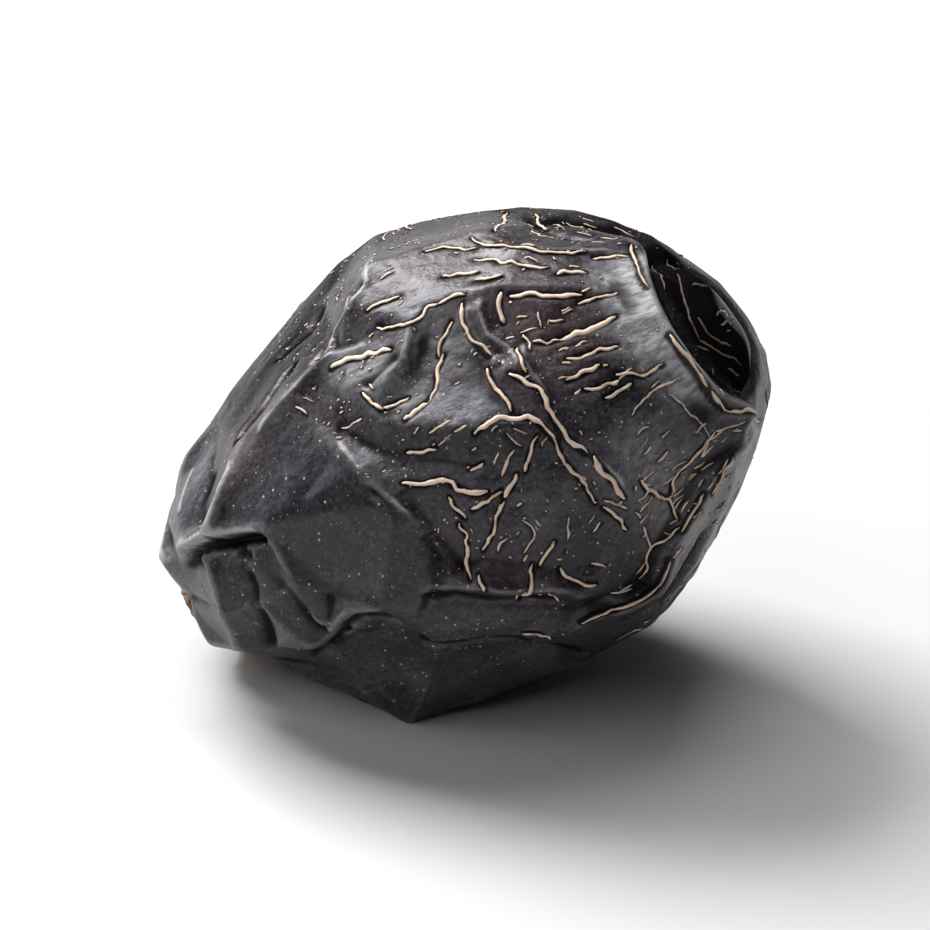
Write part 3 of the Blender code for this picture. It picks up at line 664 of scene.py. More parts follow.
# A socket of a material. Sums, differences and products add Math nodes.
class Wire:
    def __init__(self, tree, socket=None):
        self.tree = tree
        self.socket = socket

    # Adds a node: its type, its settings, then values or wires for its sockets by name or number.
    def add(self, kind, settings=None, sockets=None, output=0):
        node = self.tree.nodes.new(kind)
        for key, value in (settings or {}).items():
            setattr(node, key, value)
        for key, value in (sockets or {}).items():
            if isinstance(value, Wire):
                self.tree.links.new(value.socket, node.inputs[key])
            else:
                node.inputs[key].default_value = value
        return Wire(self.tree, node.outputs[output])

    def math(self, operation, first, second):
        return self.add("ShaderNodeMath", {"operation": operation}, {0: first, 1: second})

    def __add__(self, other):
        return self.math("ADD", self, other)

    def __sub__(self, other):
        return self.math("SUBTRACT", self, other)

    def __rsub__(self, other):
        return self.math("SUBTRACT", other, self)

    def __mul__(self, other):
        return self.math("MULTIPLY", self, other)

    __radd__ = __add__
    __rmul__ = __mul__

    # The greater of this value and another.
    def most(self, other):
        return self.math("MAXIMUM", self, other)

    # A smooth 0 to 1 as this value goes from low to high.
    def step(self, low, high):
        settings = {"interpolation_type": "SMOOTHSTEP"}
        sockets = {"Value": self, "From Min": low, "From Max": high}
        return self.add("ShaderNodeMapRange", settings, sockets)

    # A colour between two colours, by this value.
    def mix(self, first, second):
        colours = {6: (*first, 1.0) if isinstance(first, tuple) else first}
        colours[7] = (*second, 1.0) if isinstance(second, tuple) else second
        return self.add("ShaderNodeMix", {"data_type": "RGBA"}, {0: self, **colours}, output=2)


# A new material: the tree's Wire to build with, and its Principled shader to feed.
def newMaterial(name):
    material = bpy.data.materials.new(name)
    material.use_nodes = True
    tree = material.node_tree
    return material, Wire(tree), tree.nodes["Principled BSDF"]


def feed(shader, name, value):
    if isinstance(value, Wire):
        value.tree.links.new(value.socket, shader.inputs[name])
    else:
        shader.inputs[name].default_value = value


def attribute(wire, name, output=2):
    return wire.add("ShaderNodeAttribute", {"attribute_name": name}, output=output)


# Noise of so many cells to a metre, on a piece's own coordinates or on an attribute.
def noise(wire, where, scale, detail=4.0):
    sockets = {"Vector": where, "Scale": scale, "Detail": detail}
    return wire.add("ShaderNodeTexNoise", None, sockets)


def perMetre(size):
    return 1.0 / (size * millimetre)


# Bumps of a depth in millimetres.
def addBump(wire, shader, height, strength, depth):
    sockets = {"Height": height, "Strength": strength, "Distance": depth * millimetre}
    feed(shader, "Normal", wire.add("ShaderNodeBump", None, sockets))


# Mixes a dull shader of one colour into a material by a factor.
def addDull(wire, shader, factor, colour):
    sockets = {"Base Color": (*colour, 1.0), "Roughness": 1.0, "Specular IOR Level": 0.0}
    dull = wire.add("ShaderNodeBsdfPrincipled", None, sockets)
    glossy = Wire(wire.tree, shader.outputs[0])
    both = wire.add("ShaderNodeMixShader", None, {0: factor, 1: glossy, 2: dull})
    wire.tree.links.new(both.socket, wire.tree.nodes["Material Output"].inputs["Surface"])


# The dried skin's finish. Colours are linear. Each noise has a size in millimetres and a detail.
# Specks have a spacing, a radius and a share. A mask has where it starts and where it is full.
skinFinish = {
    "black": (0.0080, 0.0076, 0.0110),
    "plum": (0.0280, 0.0130, 0.0165),
    # Bloom is the grey of the film and of painted sheen; rim is the pale grey of crests, partly
    # wear and partly painted highlight, and of the strongest painted sheen.
    "bloomAndSheen": (0.115, 0.113, 0.122),
    "rim": (0.34, 0.335, 0.34),
    # The near-black of the painted shade in creases, round the cracks and in the dark zones.
    "paintedShade": (0.0045, 0.004, 0.0045),
    "speckColour": (0.46, 0.39, 0.33),
    "specks": ((0.52, 0.085, 0.50), (0.30, 0.046, 0.50)),
    "speckSoftness": (0.5, 0.1),
    "indexOfRefraction": 1.43,
    "gloss": (0.97, 0.95, 1.0),
    "patches": (7.0, 3.0),
    "mottle": (1.6, 4.0),
    "grain": (0.22, 3.0),
    "streaks": (0.35, 4.0),
    "streakSquash": 0.85,
    "wrinkleSize": 0.9,
    "masks": {
        "plum": (0.42, 0.62),
        "streaks": (0.35, 0.65),
        "mottle": (0.45, 0.8),
        "hollow": (0.1, 0.8),
        "crest": (0.3, 1.0),
        "rimInBloomAndSheen": (0.0, 0.6),
        "strongBloomAndSheen": (0.8, 2.6),
        "furrow": (0.2, 0.9),
        "crack": (0.3, 0.9),
    },
    "bloomAndSheenShares": {"even": 0.45, "streaks": 0.5, "mottle": 0.26, "grain": 1.0, "hollow": 0.75},
    "rimShares": {"even": 0.25, "streaks": 0.75, "anywhere": 0.35, "inBloom": 0.9},
    "shadeShares": {"furrow": 0.8, "crack": 0.9},
    "speckShares": {"little": 0.7, "all": 0.85},
    "roughness": {"even": 0.38, "mottle": 0.20, "bloomAndSheen": 0.14, "speck": 0.2},
    "bump": {
        "grain": 0.65, "wrinkles": 0.25, "wrinkleSlope": 3.0, "mottle": 0.4, "speck": 0.5,
        "streaks": 0.2, "streaksInBloom": 0.8, "strength": 0.7, "depth": 0.06,
    },
}

# Zones on the side in view: half width in millimetres, strength, and the run in picture pixels.
# Bloom is a thin grey film, and away from view a rule places it; in view the zones also paint sheen
# and highlights where light falls, most in those of strength above one. Dark zones are painted
# shade: dull near-black with no gloss. Plum patches keep to their own zones and to the far side.
bloomAndSheenZones = {
    "flap": (1.1, 0.9, [(192, 498), (184, 514), (175, 535)]),
    "flapRim": (0.45, 1.2, [(206, 496), (202, 507), (193, 528), (188, 535), (170, 545)]),
    "flankRidge": (0.45, 0.6, [(263, 423), (250, 447), (230, 474), (210, 498)]),
    "rightRim": (0.40, 0.6, [(400, 550), (411, 529), (425, 503), (437, 488)]),
    "shoulderBand": (1.3, 3.0, [(376, 420), (384, 440), (395, 452), (406, 464)]),
    "crown": (2.2, 0.7, [(268, 412), (290, 402), (315, 396)]),
    "window": (1.1, 2.2, [(255, 462), (268, 458)]),
    "sheen": (1.1, 1.1, [(285, 477), (312, 476)]),
    "middle": (1.4, 0.40, [(352, 468), (366, 484)]),
    "hollow": (1.3, 1.7, [(290, 446), (302, 452)]),
    "right": (2.2, 1.5, [(385, 500), (400, 520)]),
    "centre": (1.6, 0.5, [(325, 515), (345, 525)]),
    "diagonal": (0.30, 0.8, [(243, 488), (256, 500), (275, 520), (288, 534)]),
    "lipEdge": (0.25, 1.0, [(186, 537), (199, 533), (217, 531)]),
    "ledge": (1.2, 0.30, [(300, 575), (345, 576)]),
    "belly": (1.8, 0.35, [(268, 597), (312, 600)]),
}
# Painted shade where the skin lies in shade: on the flank, the strips, the disc, the crown hollow
# and in the slits.
paintedShadeZones = {
    "flank": (1.4, 0.60, [(247, 420), (228, 448), (208, 478)]),
    "strips": (1.2, 0.15, [(196, 562), (214, 572)]),
    "disc": (1.7, 2.5, [(401, 413), (408, 430), (416, 445), (431, 461)]),
    "crownHollow": (0.8, 1.2, [(345, 394), (358, 396), (374, 399)]),
    "upperSlit": (0.20, 1.6, folds["shoulderFurrow"][2]),
    "lowerSlit": (0.20, 1.6, folds["flankFurrow"][2]),
}
plumZones = {
    "upperMiddle": (2.6, 1.8, [(214, 500), (220, 520), (236, 500)]),
    "upper": (5.5, 0.9, [(300, 425), (350, 440), (385, 500), (350, 530)]),
}
plumAway = {"start": 0.0, "full": -0.35, "inView": 0.15}
farBloom = {
    "count": 10,
    "facing": 0.1,
    "halfWidth": (1.3, 3.0),
    "strength": (0.4, 1.0),
    "steps": 5,
    "step": 1.2,
    "drift": 0.3,
    "seed": 21,
}


# Skin: black with plum patches, a grey bloom with painted sheen and highlights in its zones, pale
# crests that are partly wear and partly painted highlight, painted shade in creases, round the
# cracks, in hollows and in dark zones, and tan specks.
def skinMaterial():
    material, wire, shader = newMaterial("dried skin")
    place = wire.add("ShaderNodeTexCoord", output=3)

    def skinNoise(name, where):
        size, detail = skinFinish[name]
        return noise(wire, where, perMetre(size), detail)

    def mask(value, name):
        return value.step(*skinFinish["masks"][name])

    # Round dots in the cells of a Voronoi pattern whose drawn colour is under the share.
    def specks(spacing, radius, share):
        sockets = {"Vector": place, "Scale": perMetre(spacing)}
        distance = wire.add("ShaderNodeTexVoronoi", None, sockets)
        cell = wire.add("ShaderNodeTexVoronoi", None, sockets, 1)
        draw = wire.add("ShaderNodeSeparateColor", None, {"Color": cell})
        inner, over = skinFinish["speckSoftness"]
        dot = 1.0 - distance.step(inner * radius / spacing, radius / spacing)
        return dot * (1.0 - draw.step(share, share + over))

    zones = attribute(wire, "bloomAndSheen")
    patches = mask(skinNoise("patches", place), "plum") * attribute(wire, "plum")
    mottled = skinNoise("mottle", place)
    grain = skinNoise("grain", place)
    streaks = skinNoise("streaks", attribute(wire, "lengthwise", 1))

    # Bloom and painted sheen: the zones, streaked, mottled and grained.
    share = skinFinish["bloomAndSheenShares"]
    bloomAndSheen = zones * (share["even"] + mask(streaks, "streaks") * share["streaks"])
    bloomAndSheen = bloomAndSheen + mask(mottled, "mottle") * share["mottle"] + (grain - 0.5) * share["grain"]
    # Lower in hollows, as painted shade.
    bloomAndSheen = bloomAndSheen * (1.0 - mask(attribute(wire, "hollow"), "hollow") * share["hollow"])

    # Pale crests: partly wear and partly painted highlight, strongest in the bloom and sheen zones.
    share = skinFinish["rimShares"]
    rim = mask(attribute(wire, "crest"), "crest") * (share["even"] + share["streaks"] * streaks)
    rim = rim * (share["anywhere"] + mask(zones, "rimInBloomAndSheen") * share["inBloom"])

    share = skinFinish["speckShares"]
    big, little = (specks(*kind) for kind in skinFinish["specks"])
    speck = big.most(little * share["little"])
    colour = patches.mix(skinFinish["black"], skinFinish["plum"])
    colour = bloomAndSheen.mix(colour, skinFinish["bloomAndSheen"])
    # Where bloom and sheen are strongest, a paler painted highlight.
    colour = mask(bloomAndSheen, "strongBloomAndSheen").mix(colour, skinFinish["rim"])
    colour = rim.mix(colour, skinFinish["rim"])
    feed(shader, "Base Color", (speck * share["all"]).mix(colour, skinFinish["speckColour"]))

    share = skinFinish["roughness"]
    roughness = share["even"] + (mottled - 0.5) * share["mottle"]
    feed(shader, "Roughness", roughness + bloomAndSheen * share["bloomAndSheen"] + speck * share["speck"])
    feed(shader, "IOR", skinFinish["indexOfRefraction"])
    feed(shader, "Specular Tint", (*skinFinish["gloss"], 1.0))

    share = skinFinish["bump"]
    sockets = {"Vector": place, "Scale": perMetre(skinFinish["wrinkleSize"])}
    leather = wire.add("ShaderNodeTexVoronoi", {"feature": "DISTANCE_TO_EDGE"}, sockets)
    wrinkles = (leather * share["wrinkleSlope"]).step(0.0, 1.0)
    height = grain * share["grain"] + wrinkles * share["wrinkles"]
    height = height + mottled * share["mottle"] + speck * share["speck"]
    height = height + streaks * (share["streaks"] + zones * share["streaksInBloom"])
    addBump(wire, shader, height, share["strength"], share["depth"])

    # Painted shade: furrows, the lines round the cracks and the dark zones are mixed to a dull
    # near-black with no gloss.
    share = skinFinish["shadeShares"]
    shade = mask(attribute(wire, "furrow"), "furrow") * share["furrow"]
    shade = shade.most(mask(attribute(wire, "crackNear"), "crack") * share["crack"])
    addDull(wire, shader, shade.most(attribute(wire, "paintedZoneShade")), skinFinish["paintedShade"])
    return material


# The skin's surface, with grooves under the cracks, pressed flat where it rests.
directions, quads = roundedCube(fruit["squares"])
directions = unit(directions + fruit["closerInView"] * toViewer)
radius = skinRadius(directions)
print("the skin is worked out at", len(directions), "points")

middleHeight = float(np.max(-directions[:, 2] * radius)) - fruit["flatSpotDepth"]


# Points at their radius, pressed flat: no radius passes the middle's height over the downward
# share of its direction.
def onGround(directions, radius):
    down = np.maximum(-directions[:, 2], 1e-9)
    return directions * np.minimum(radius, middleHeight / down)[:, None]


cadLow, cadHigh = (np.array(corner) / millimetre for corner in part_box("flesh"))
skinPoints = onGround(directions, radius)
boxMiddle = (skinPoints.min(axis=0) + skinPoints.max(axis=0)) / 2
middle = np.array([*((cadLow + cadHigh) / 2 - boxMiddle)[:2], middleHeight])

# The cracks' sizes in millimetres and their finish. A thickening or a wobble has its height, its
# size and its channel.
cracks = {
    "halfWidth": {"thick": 0.142, "middle": 0.098, "fine": 0.072},
    "flatness": 0.62,
    "sunk": 0.30,
    "sides": 7,
    "spacing": 0.17,
    "fewestPoints": 6,
    "thickness": 0.92,
    "thickening": ((0.25, 0.7, 50), (0.30, 0.28, 53)),
    "wobble": ((0.11, 0.8, 51), (0.12, 0.36, 52)),
    "bluntEnd": 0.015,
    "swellSpeed": 3.0,
    "offFloor": 0.01,
    "haloStart": 0.5,
    "haloWidth": 0.17,
    "haloReach": 1.2,
    "haloFullWidth": 0.10,
    "grooveDepth": 0.07,
    "colour": (0.74, 0.58, 0.46),
    # Edge is the crack's tan in painted shade, for the bead's sides and its blotches; dim is the
    # disc's painted shade on the cracks.
    "edge": (0.22, 0.135, 0.085),
    "dim": (0.060, 0.042, 0.036),
    "grainSize": 0.45,
    "strength": ((0.03, 0.14), (0.45, 1.0)),
    "blotches": 1.3,
    "paleMask": (0.05, 0.85),
    "roughness": (0.5, 0.2),
    "bump": (0.5, 0.04),
    "dimming": 0.85,
}

# Cracks on the side in view, in picture pixels, by how thick they are.
crackRuns = {
    "thick": [
        [(349, 419), (362, 418)], [(324, 427), (323, 434), (325, 441)],
        [(328, 463), (334, 467), (341, 470), (345, 478), (349, 487), (354, 493), (362, 499)],
        [(365, 500), (370, 507), (375, 513), (379, 519)],
        [(312, 490), (318, 486), (323, 483), (330, 483), (338, 483), (343, 488), (349, 494)],
        [(248, 461), (255, 457), (262, 456), (268, 454), (275, 452)],
        [(280, 512), (290, 513), (296, 510), (300, 511), (306, 515), (312, 517), (318, 516)],
        [(399, 446), (404, 453), (410, 461), (414, 468), (419, 474), (424, 479)],
        [(331, 508), (329, 514), (325, 518)], [(291, 476), (285, 481), (281, 484)],
        [(350, 448), (362, 444), (375, 438)], [(328, 428), (340, 428), (350, 429), (360, 428)],
    ],
    "middle": [
        [(290, 408), (300, 406), (306, 407), (313, 407)], [(327, 389), (326, 394), (321, 399)],
        [(311, 402), (316, 406), (330, 406), (342, 409), (352, 409), (362, 409)],
        [(365, 411), (381, 410)], [(298, 420), (306, 419), (314, 418)],
        [(312, 412), (320, 412), (324, 414), (330, 413), (335, 416), (345, 416)],
        [(312, 422), (318, 422), (325, 420)], [(341, 390), (341, 394), (345, 398)],
        [(358, 432), (366, 430), (376, 427)], [(338, 450), (345, 450), (350, 448)],
        [(334, 446), (337, 453)], [(331, 452), (333, 458), (335, 463)],
        [(353, 457), (360, 455), (368, 453), (376, 451)], [(353, 467), (360, 464), (368, 460)],
        [(361, 471), (368, 469), (376, 466)], [(370, 474), (376, 471), (382, 468)],
        [(375, 463), (382, 464), (388, 465), (392, 461), (396, 460)],
        [(349, 494), (351, 501), (357, 508), (362, 515), (366, 521)],
        [(318, 461), (321, 470), (326, 474), (329, 480)],
        [(302, 440), (299, 446), (296, 453), (296, 456)],
        [(299, 455), (295, 463), (295, 470), (291, 476)],
        [(269, 442), (276, 443), (283, 441), (288, 438), (291, 433), (296, 432)],
        [(296, 432), (302, 429), (308, 428)], [(264, 435), (270, 432), (279, 429)],
        [(262, 472), (267, 477), (271, 480)], [(272, 479), (278, 476), (283, 474)],
        [(282, 498), (290, 498), (295, 496)], [(310, 506), (316, 503)],
        [(307, 432), (307, 440), (311, 448), (315, 452), (319, 456)],
        [(340, 491), (336, 500), (335, 507)], [(311, 524), (317, 521), (324, 515)],
        [(301, 518), (304, 524), (308, 528)], [(305, 530), (309, 536), (309, 545), (310, 555)],
        [(325, 520), (322, 528), (320, 535), (316, 542)], [(314, 553), (317, 560)],
        [(348, 538), (344, 544), (341, 549)], [(338, 548), (338, 555), (337, 560), (332, 564)],
        [(369, 523), (374, 526), (378, 530), (380, 533)],
        [(350, 550), (353, 554), (358, 556), (367, 557)],
        [(404, 532), (398, 537), (392, 541), (389, 547), (390, 551), (386, 555)],
        [(386, 511), (388, 515), (394, 517), (399, 519), (401, 524), (403, 528)],
        [(400, 519), (400, 512), (404, 507), (408, 503), (412, 498), (416, 494), (420, 489)],
        [(360, 575), (368, 571), (378, 568), (388, 564), (395, 559), (398, 553), (400, 546)],
        [(428, 500), (424, 506), (421, 513), (419, 517)],
        [(415, 517), (411, 524), (407, 530), (405, 534)], [(377, 583), (384, 579), (391, 576)],
        [(334, 579), (340, 579), (347, 582)], [(382, 405), (384, 412), (386, 419), (389, 425)],
        [(424, 479), (430, 480), (437, 480), (442, 484)],
    ],
    "fine": [
        [(338, 398), (342, 401), (350, 402)], [(348, 395), (352, 397)], [(353, 394), (362, 397)],
        [(361, 392), (367, 394)], [(358, 399), (365, 401)], [(369, 402), (375, 403)],
        [(376, 396), (385, 401)], [(331, 439), (336, 438)], [(341, 436), (342, 443)],
        [(345, 440), (352, 440)], [(351, 437), (356, 435)], [(326, 448), (330, 447)],
        [(351, 459), (355, 459)], [(270, 421), (276, 418)], [(253, 488), (258, 485), (262, 483)],
        [(292, 490), (297, 486), (302, 484)], [(303, 489), (309, 486)],
        [(326, 490), (329, 494), (333, 496)], [(329, 497), (327, 503), (324, 509)],
        [(334, 528), (338, 533), (338, 538), (334, 543)], [(354, 527), (354, 532), (354, 537)],
        [(364, 548), (371, 549)], [(373, 562), (383, 559)], [(365, 534), (369, 530)],
        [(370, 519), (380, 524)], [(388, 531), (390, 537), (392, 541)],
        [(398, 473), (404, 477), (408, 481), (413, 486), (417, 492)],
        [(382, 482), (388, 474), (392, 470), (398, 468), (404, 466)],
        [(400, 565), (404, 560), (409, 555)], [(410, 554), (418, 545)],
        [(430, 517), (427, 524), (424, 530), (423, 537)], [(345, 561), (350, 565)],
        [(412, 438), (416, 444), (422, 449), (427, 450)], [(393, 414), (396, 420), (398, 426)],
        [(426, 461), (431, 464)], [(445, 470), (446, 477), (444, 483)],
        [(411, 424), (417, 423)], [(420, 489), (428, 487), (434, 485)],
        [(400, 546), (405, 541)], [(232, 478), (237, 482)], [(421, 437), (425, 434), (427, 438)],
        [(423, 441), (428, 440)], [(400, 411), (405, 425), (409, 440), (413, 448)],
        [(413, 448), (422, 453), (432, 459)],
    ],
}

# The patch of fine parallel scratches between the middle and the right rim.
scratches = {
    "corner": (386, 487),
    "across": (40, 44),
    "rows": 7,
    "perRow": 4,
    "length": 7.5,
    "halfShare": (0.25, 0.6),
    "lean": 42.0,
    "leanSpread": 7.0,
    "halfWidth": 0.065,
    "seed": 3,
}


# Short parallel scratches: a shaken grid of middles, each with one lean and a drawn length.
def scratchRuns():
    draw = np.random.default_rng(scratches["seed"])
    (left, top), (width, height) = scratches["corner"], scratches["across"]
    found = []
    for row in range(scratches["rows"]):
        for column in range(scratches["perRow"]):
            x = left + width * (column + draw.uniform(0.0, 1.0)) / scratches["perRow"]
            y = top + height * (row + draw.uniform(0.0, 1.0)) / scratches["rows"]
            lean = math.radians(scratches["lean"] + draw.normal(0.0, scratches["leanSpread"]))
            half = scratches["length"] * draw.uniform(*scratches["halfShare"])
            step = np.array([math.cos(lean), -math.sin(lean)]) * half
            found.append([(x - step[0], y - step[1]), (x, y), (x + step[0], y + step[1])])
    return found


# Cracks that a rule gives away from view: dashes that run along the fruit near the tip and in
# drifts on its flanks, and a few long ones that wander.
farCracks = {
    "facing": 0.05,
    "lowest": -0.85,
    "fromStem": 24.0,
    "tip": {
        "count": 34, "shake": 0.3, "slope": (22.0, 48.0), "steps": 5, "step": (0.3, 0.7),
        "drift": 0.12, "halfWidth": (0.06, 0.11),
    },
    "drifts": {
        "count": 13, "each": 11, "toTip": 0.5, "toFarSide": 0.6, "headings": 0.7, "spread": 0.2,
        "lean": 0.2, "steps": 4, "step": (0.2, 0.6), "drift": 0.15, "halfWidth": (0.055, 0.095),
    },
    "wanderers": {
        "count": 15, "toTip": 0.4, "toFarSide": 0.7, "steps": 12, "step": 0.7, "drift": 0.35,
        "halfWidth": (0.08, 0.13),
    },
    "seed": 12,
}


def farCrackRuns():
    draw = np.random.default_rng(farCracks["seed"])
    tip, drifts, wanderers = farCracks["tip"], farCracks["drifts"], farCracks["wanderers"]
    found = []

    # Walks from a start that faces away, off the ground and clear of the stem.
    def keep(kind, direction, step, heading, width):
        direction = unit(direction)
        hidden = direction @ toViewer < farCracks["facing"] and direction[2] > farCracks["lowest"]
        if hidden and angleFromStem(direction) > farCracks["fromStem"]:
            point = direction * bodyRadius(direction)
            run = walkOnBody(draw, point, heading, kind["steps"], step, kind["drift"])
            found.append((width, run))

    def drawnStart(kind):
        return draw.normal(0.0, 1.0, 3) + kind["toTip"] * tipAxis - kind["toFarSide"] * toViewer

    for k in range(tip["count"]):
        turn = 2.0 * math.pi * (k + draw.uniform(-tip["shake"], tip["shake"])) / tip["count"]
        slope = math.radians(draw.uniform(*tip["slope"]))
        ring = math.cos(turn) * stemAcross + math.sin(turn) * stemSideways
        width = draw.uniform(*tip["halfWidth"])
        direction = math.cos(slope) * tipAxis + math.sin(slope) * ring
        keep(tip, direction, draw.uniform(*tip["step"]), math.pi, width)
    for _ in range(drifts["count"]):
        centre = unit(drawnStart(drifts))
        heading = draw.normal(0.0, drifts["headings"])
        for _ in range(drifts["each"]):
            direction = centre + draw.normal(0.0, drifts["spread"], 3)
            step = draw.uniform(*drifts["step"])
            lean = draw.normal(0.0, drifts["lean"])
            keep(drifts, direction, step, heading + lean, draw.uniform(*drifts["halfWidth"]))
    for _ in range(wanderers["count"]):
        direction = drawnStart(wanderers)
        heading = draw.uniform(0.0, 2.0 * math.pi)
        width = draw.uniform(*wanderers["halfWidth"])
        keep(wanderers, direction, wanderers["step"], heading, width)
    return found


# Short dashes beside the cracks, and dots on the skin. In view, dots keep to the upper right of
# a line across the picture, given by its normal and its distance from the middle.
small = {
    "besideEach": 1,
    "aside": (0.35, 0.9),
    "dashHalf": (0.1, 0.45),
    "dashHalfWidth": 0.7,
    "widest": 0.1,
    "dots": 1500,
    "dotLength": (0.06, 0.30),
    "dotHalfWidth": (0.030, 0.068),
    "dotsLengthwise": 1.5,
    "driftSize": 8.0,
    "fromStem": 26.0,
    "bareNormal": (0.74, 0.67),
    "bareDistance": -4.0,
    "bareDisc": (420, 438),
    "bareReach": 2.4,
    "lowest": -6.0,
    "seed": 31,
}


# Lays a short straight dash on the body: its middle, its direction and its half length.
def dashOnBody(centre, along, half):
    points = centre + np.array([[-half], [0.0], [half]]) * along
    directions = unit(points)
    return directions * bodyRadius(directions)[:, None]


# Dashes lie along a crack, a drawn distance aside. Dots lie in drawn directions.
def smallRuns(runs):
    draw = np.random.default_rng(small["seed"])
    discPlace = flatPlaces(small["bareDisc"])
    found = []
    for width, run in runs:
        for _ in range(draw.integers(0, small["besideEach"] + 1)):
            k = draw.integers(1, len(run))
            along = unit(run[k] - run[k - 1])
            aside = np.cross(unit(run[k]), along) * draw.choice([-1.0, 1.0])
            aside = aside * draw.uniform(*small["aside"])
            place = run[k - 1] + draw.uniform(0.0, 1.0) * (run[k] - run[k - 1]) + aside
            dash = dashOnBody(place, along, draw.uniform(*small["dashHalf"]))
            found.append((small["dashHalfWidth"] * min(width, small["widest"]), dash))
    for _ in range(small["dots"]):
        direction = unit(draw.normal(0.0, 1.0, 3))
        heading = unit(draw.normal(0.0, 1.0, 3) + small["dotsLengthwise"] * tipAxis)
        length = draw.uniform(*small["dotLength"])
        width = draw.uniform(*small["dotHalfWidth"])
        point = direction * bodyRadius(direction[None])[0]
        flat = pictureAxes @ point
        inView = direction @ toViewer > 0.0
        bare = flat @ np.array(small["bareNormal"]) < small["bareDistance"]
        bare = bare or flat[1] < small["lowest"]
        bare = bare or np.linalg.norm(flat - discPlace) < small["bareReach"]
        drifted = waver(point[None], small["driftSize"], 71)[0] > 0.0
        clear = direction[2] > farCracks["lowest"] and angleFromStem(direction) > small["fromStem"]
        if clear and (not bare if inView else drifted):
            found.append((width, dashOnBody(point, heading, length / 2)))
    return found


# Evenly spaced points along a run, its corners eased by averaging each with its neighbours.
def resampled(run, spacing):
    lengths = np.concatenate([[0.0], np.cumsum(np.linalg.norm(np.diff(run, axis=0), axis=-1))])
    count = max(cracks["fewestPoints"], int(lengths[-1] / spacing) + 1)
    even = np.linspace(0.0, lengths[-1], count)
    path = np.stack([np.interp(even, lengths, run[:, axis]) for axis in range(3)], axis=-1)
    path[1:-1] = 0.25 * path[:-2] + 0.5 * path[1:-1] + 0.25 * path[2:]
    return path


# Carries all the runs to the skin at once, and parts them again.
pixelRuns = [(cracks["halfWidth"][size], run) for size, runs in crackRuns.items() for run in runs]
pixelRuns += [(scratches["halfWidth"], run) for run in scratchRuns()]
skinRuns = onBody(np.concatenate([np.array(run, float) for _, run in pixelRuns]), skinRadius)
parts = np.cumsum([len(run) for _, run in pixelRuns])[:-1]
allCracks = [(width, run) for (width, _), run in zip(pixelRuns, np.split(skinRuns, parts))]
allCracks += farCrackRuns()
allCracks += smallRuns(allCracks)
crackPaths = [resampled(run, cracks["spacing"]) for _, run in allCracks]
crackWidths = [width for width, _ in allCracks]
print(len(allCracks), "cracks are laid out")

# How near each skin point is to a crack, 1 on it, as e to the minus squared distance.
bodyPoints = directions * bodyRadius(directions)[:, None]
crackNear = np.zeros(len(directions))
for width, path in zip(crackWidths, crackPaths):
    near = nearRun(bodyPoints, path, cracks["haloReach"])
    beyond = nearestOnRun(bodyPoints[near], path)[0] - cracks["haloStart"] * width
    halo = np.exp(-((np.maximum(beyond, 0.0) / cracks["haloWidth"]) ** 2))
    crackNear[near] = np.maximum(crackNear[near], halo * min(1.0, width / cracks["haloFullWidth"]))

groovedPoints = onGround(directions, radius - cracks["grooveDepth"] * crackNear) + middle
skin = addPiece("date_skin", groovedPoints, quads, skinMaterial())
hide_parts("flesh")


# A zone fades with e to the minus squared distance over width, and the strongest one counts.
def strongest(points, zones):
    amount = np.zeros(len(points))
    for width, strength, run in zones:
        distance, _ = nearestOnRun(points, run)
        amount = np.maximum(amount, strength * np.exp(-((distance / width) ** 2)))
    return amount


# Zones with their pixels put on the body.
def zonesInView(zones):
    return [(width, strength, onBody(run)) for width, strength, run in zones.values()]


# How far the zones in view cover each point, from 0 to 1.
def zoneAmount(points, zones):
    return np.minimum(1.0, strongest(points, zonesInView(zones)))


# Bloom and painted sheen: their zones on the side in view, and drawn bloom away from it.
def bloomAndSheenAmount(points):
    zones = zonesInView(bloomAndSheenZones)
    draw = np.random.default_rng(farBloom["seed"])
    while len(zones) < len(bloomAndSheenZones) + farBloom["count"]:
        direction = unit(draw.normal(0.0, 1.0, 3))
        width = draw.uniform(*farBloom["halfWidth"])
        strength = draw.uniform(*farBloom["strength"])
        heading = draw.normal()
        if direction @ toViewer < farBloom["facing"]:
            point = direction * bodyRadius(direction[None])[0]
            walk = (heading, farBloom["steps"], farBloom["step"], farBloom["drift"])
            zones.append((width, strength, walkOnBody(draw, point, *walk)))
    return strongest(points, zones)


# How far a point stands out from the mean over its neighbours tells crests, furrows and hollows.
# The mean is taken so many times more for each width. Full depths are in millimetres.
standOut = {"near": 3, "broad": 12, "wide": 30, "fine": 0.05, "furrow": 0.13, "hollow": 0.35}


def averaged(values, times):
    for _ in range(times):
        values = neighbourMean(values, quads)
    return values


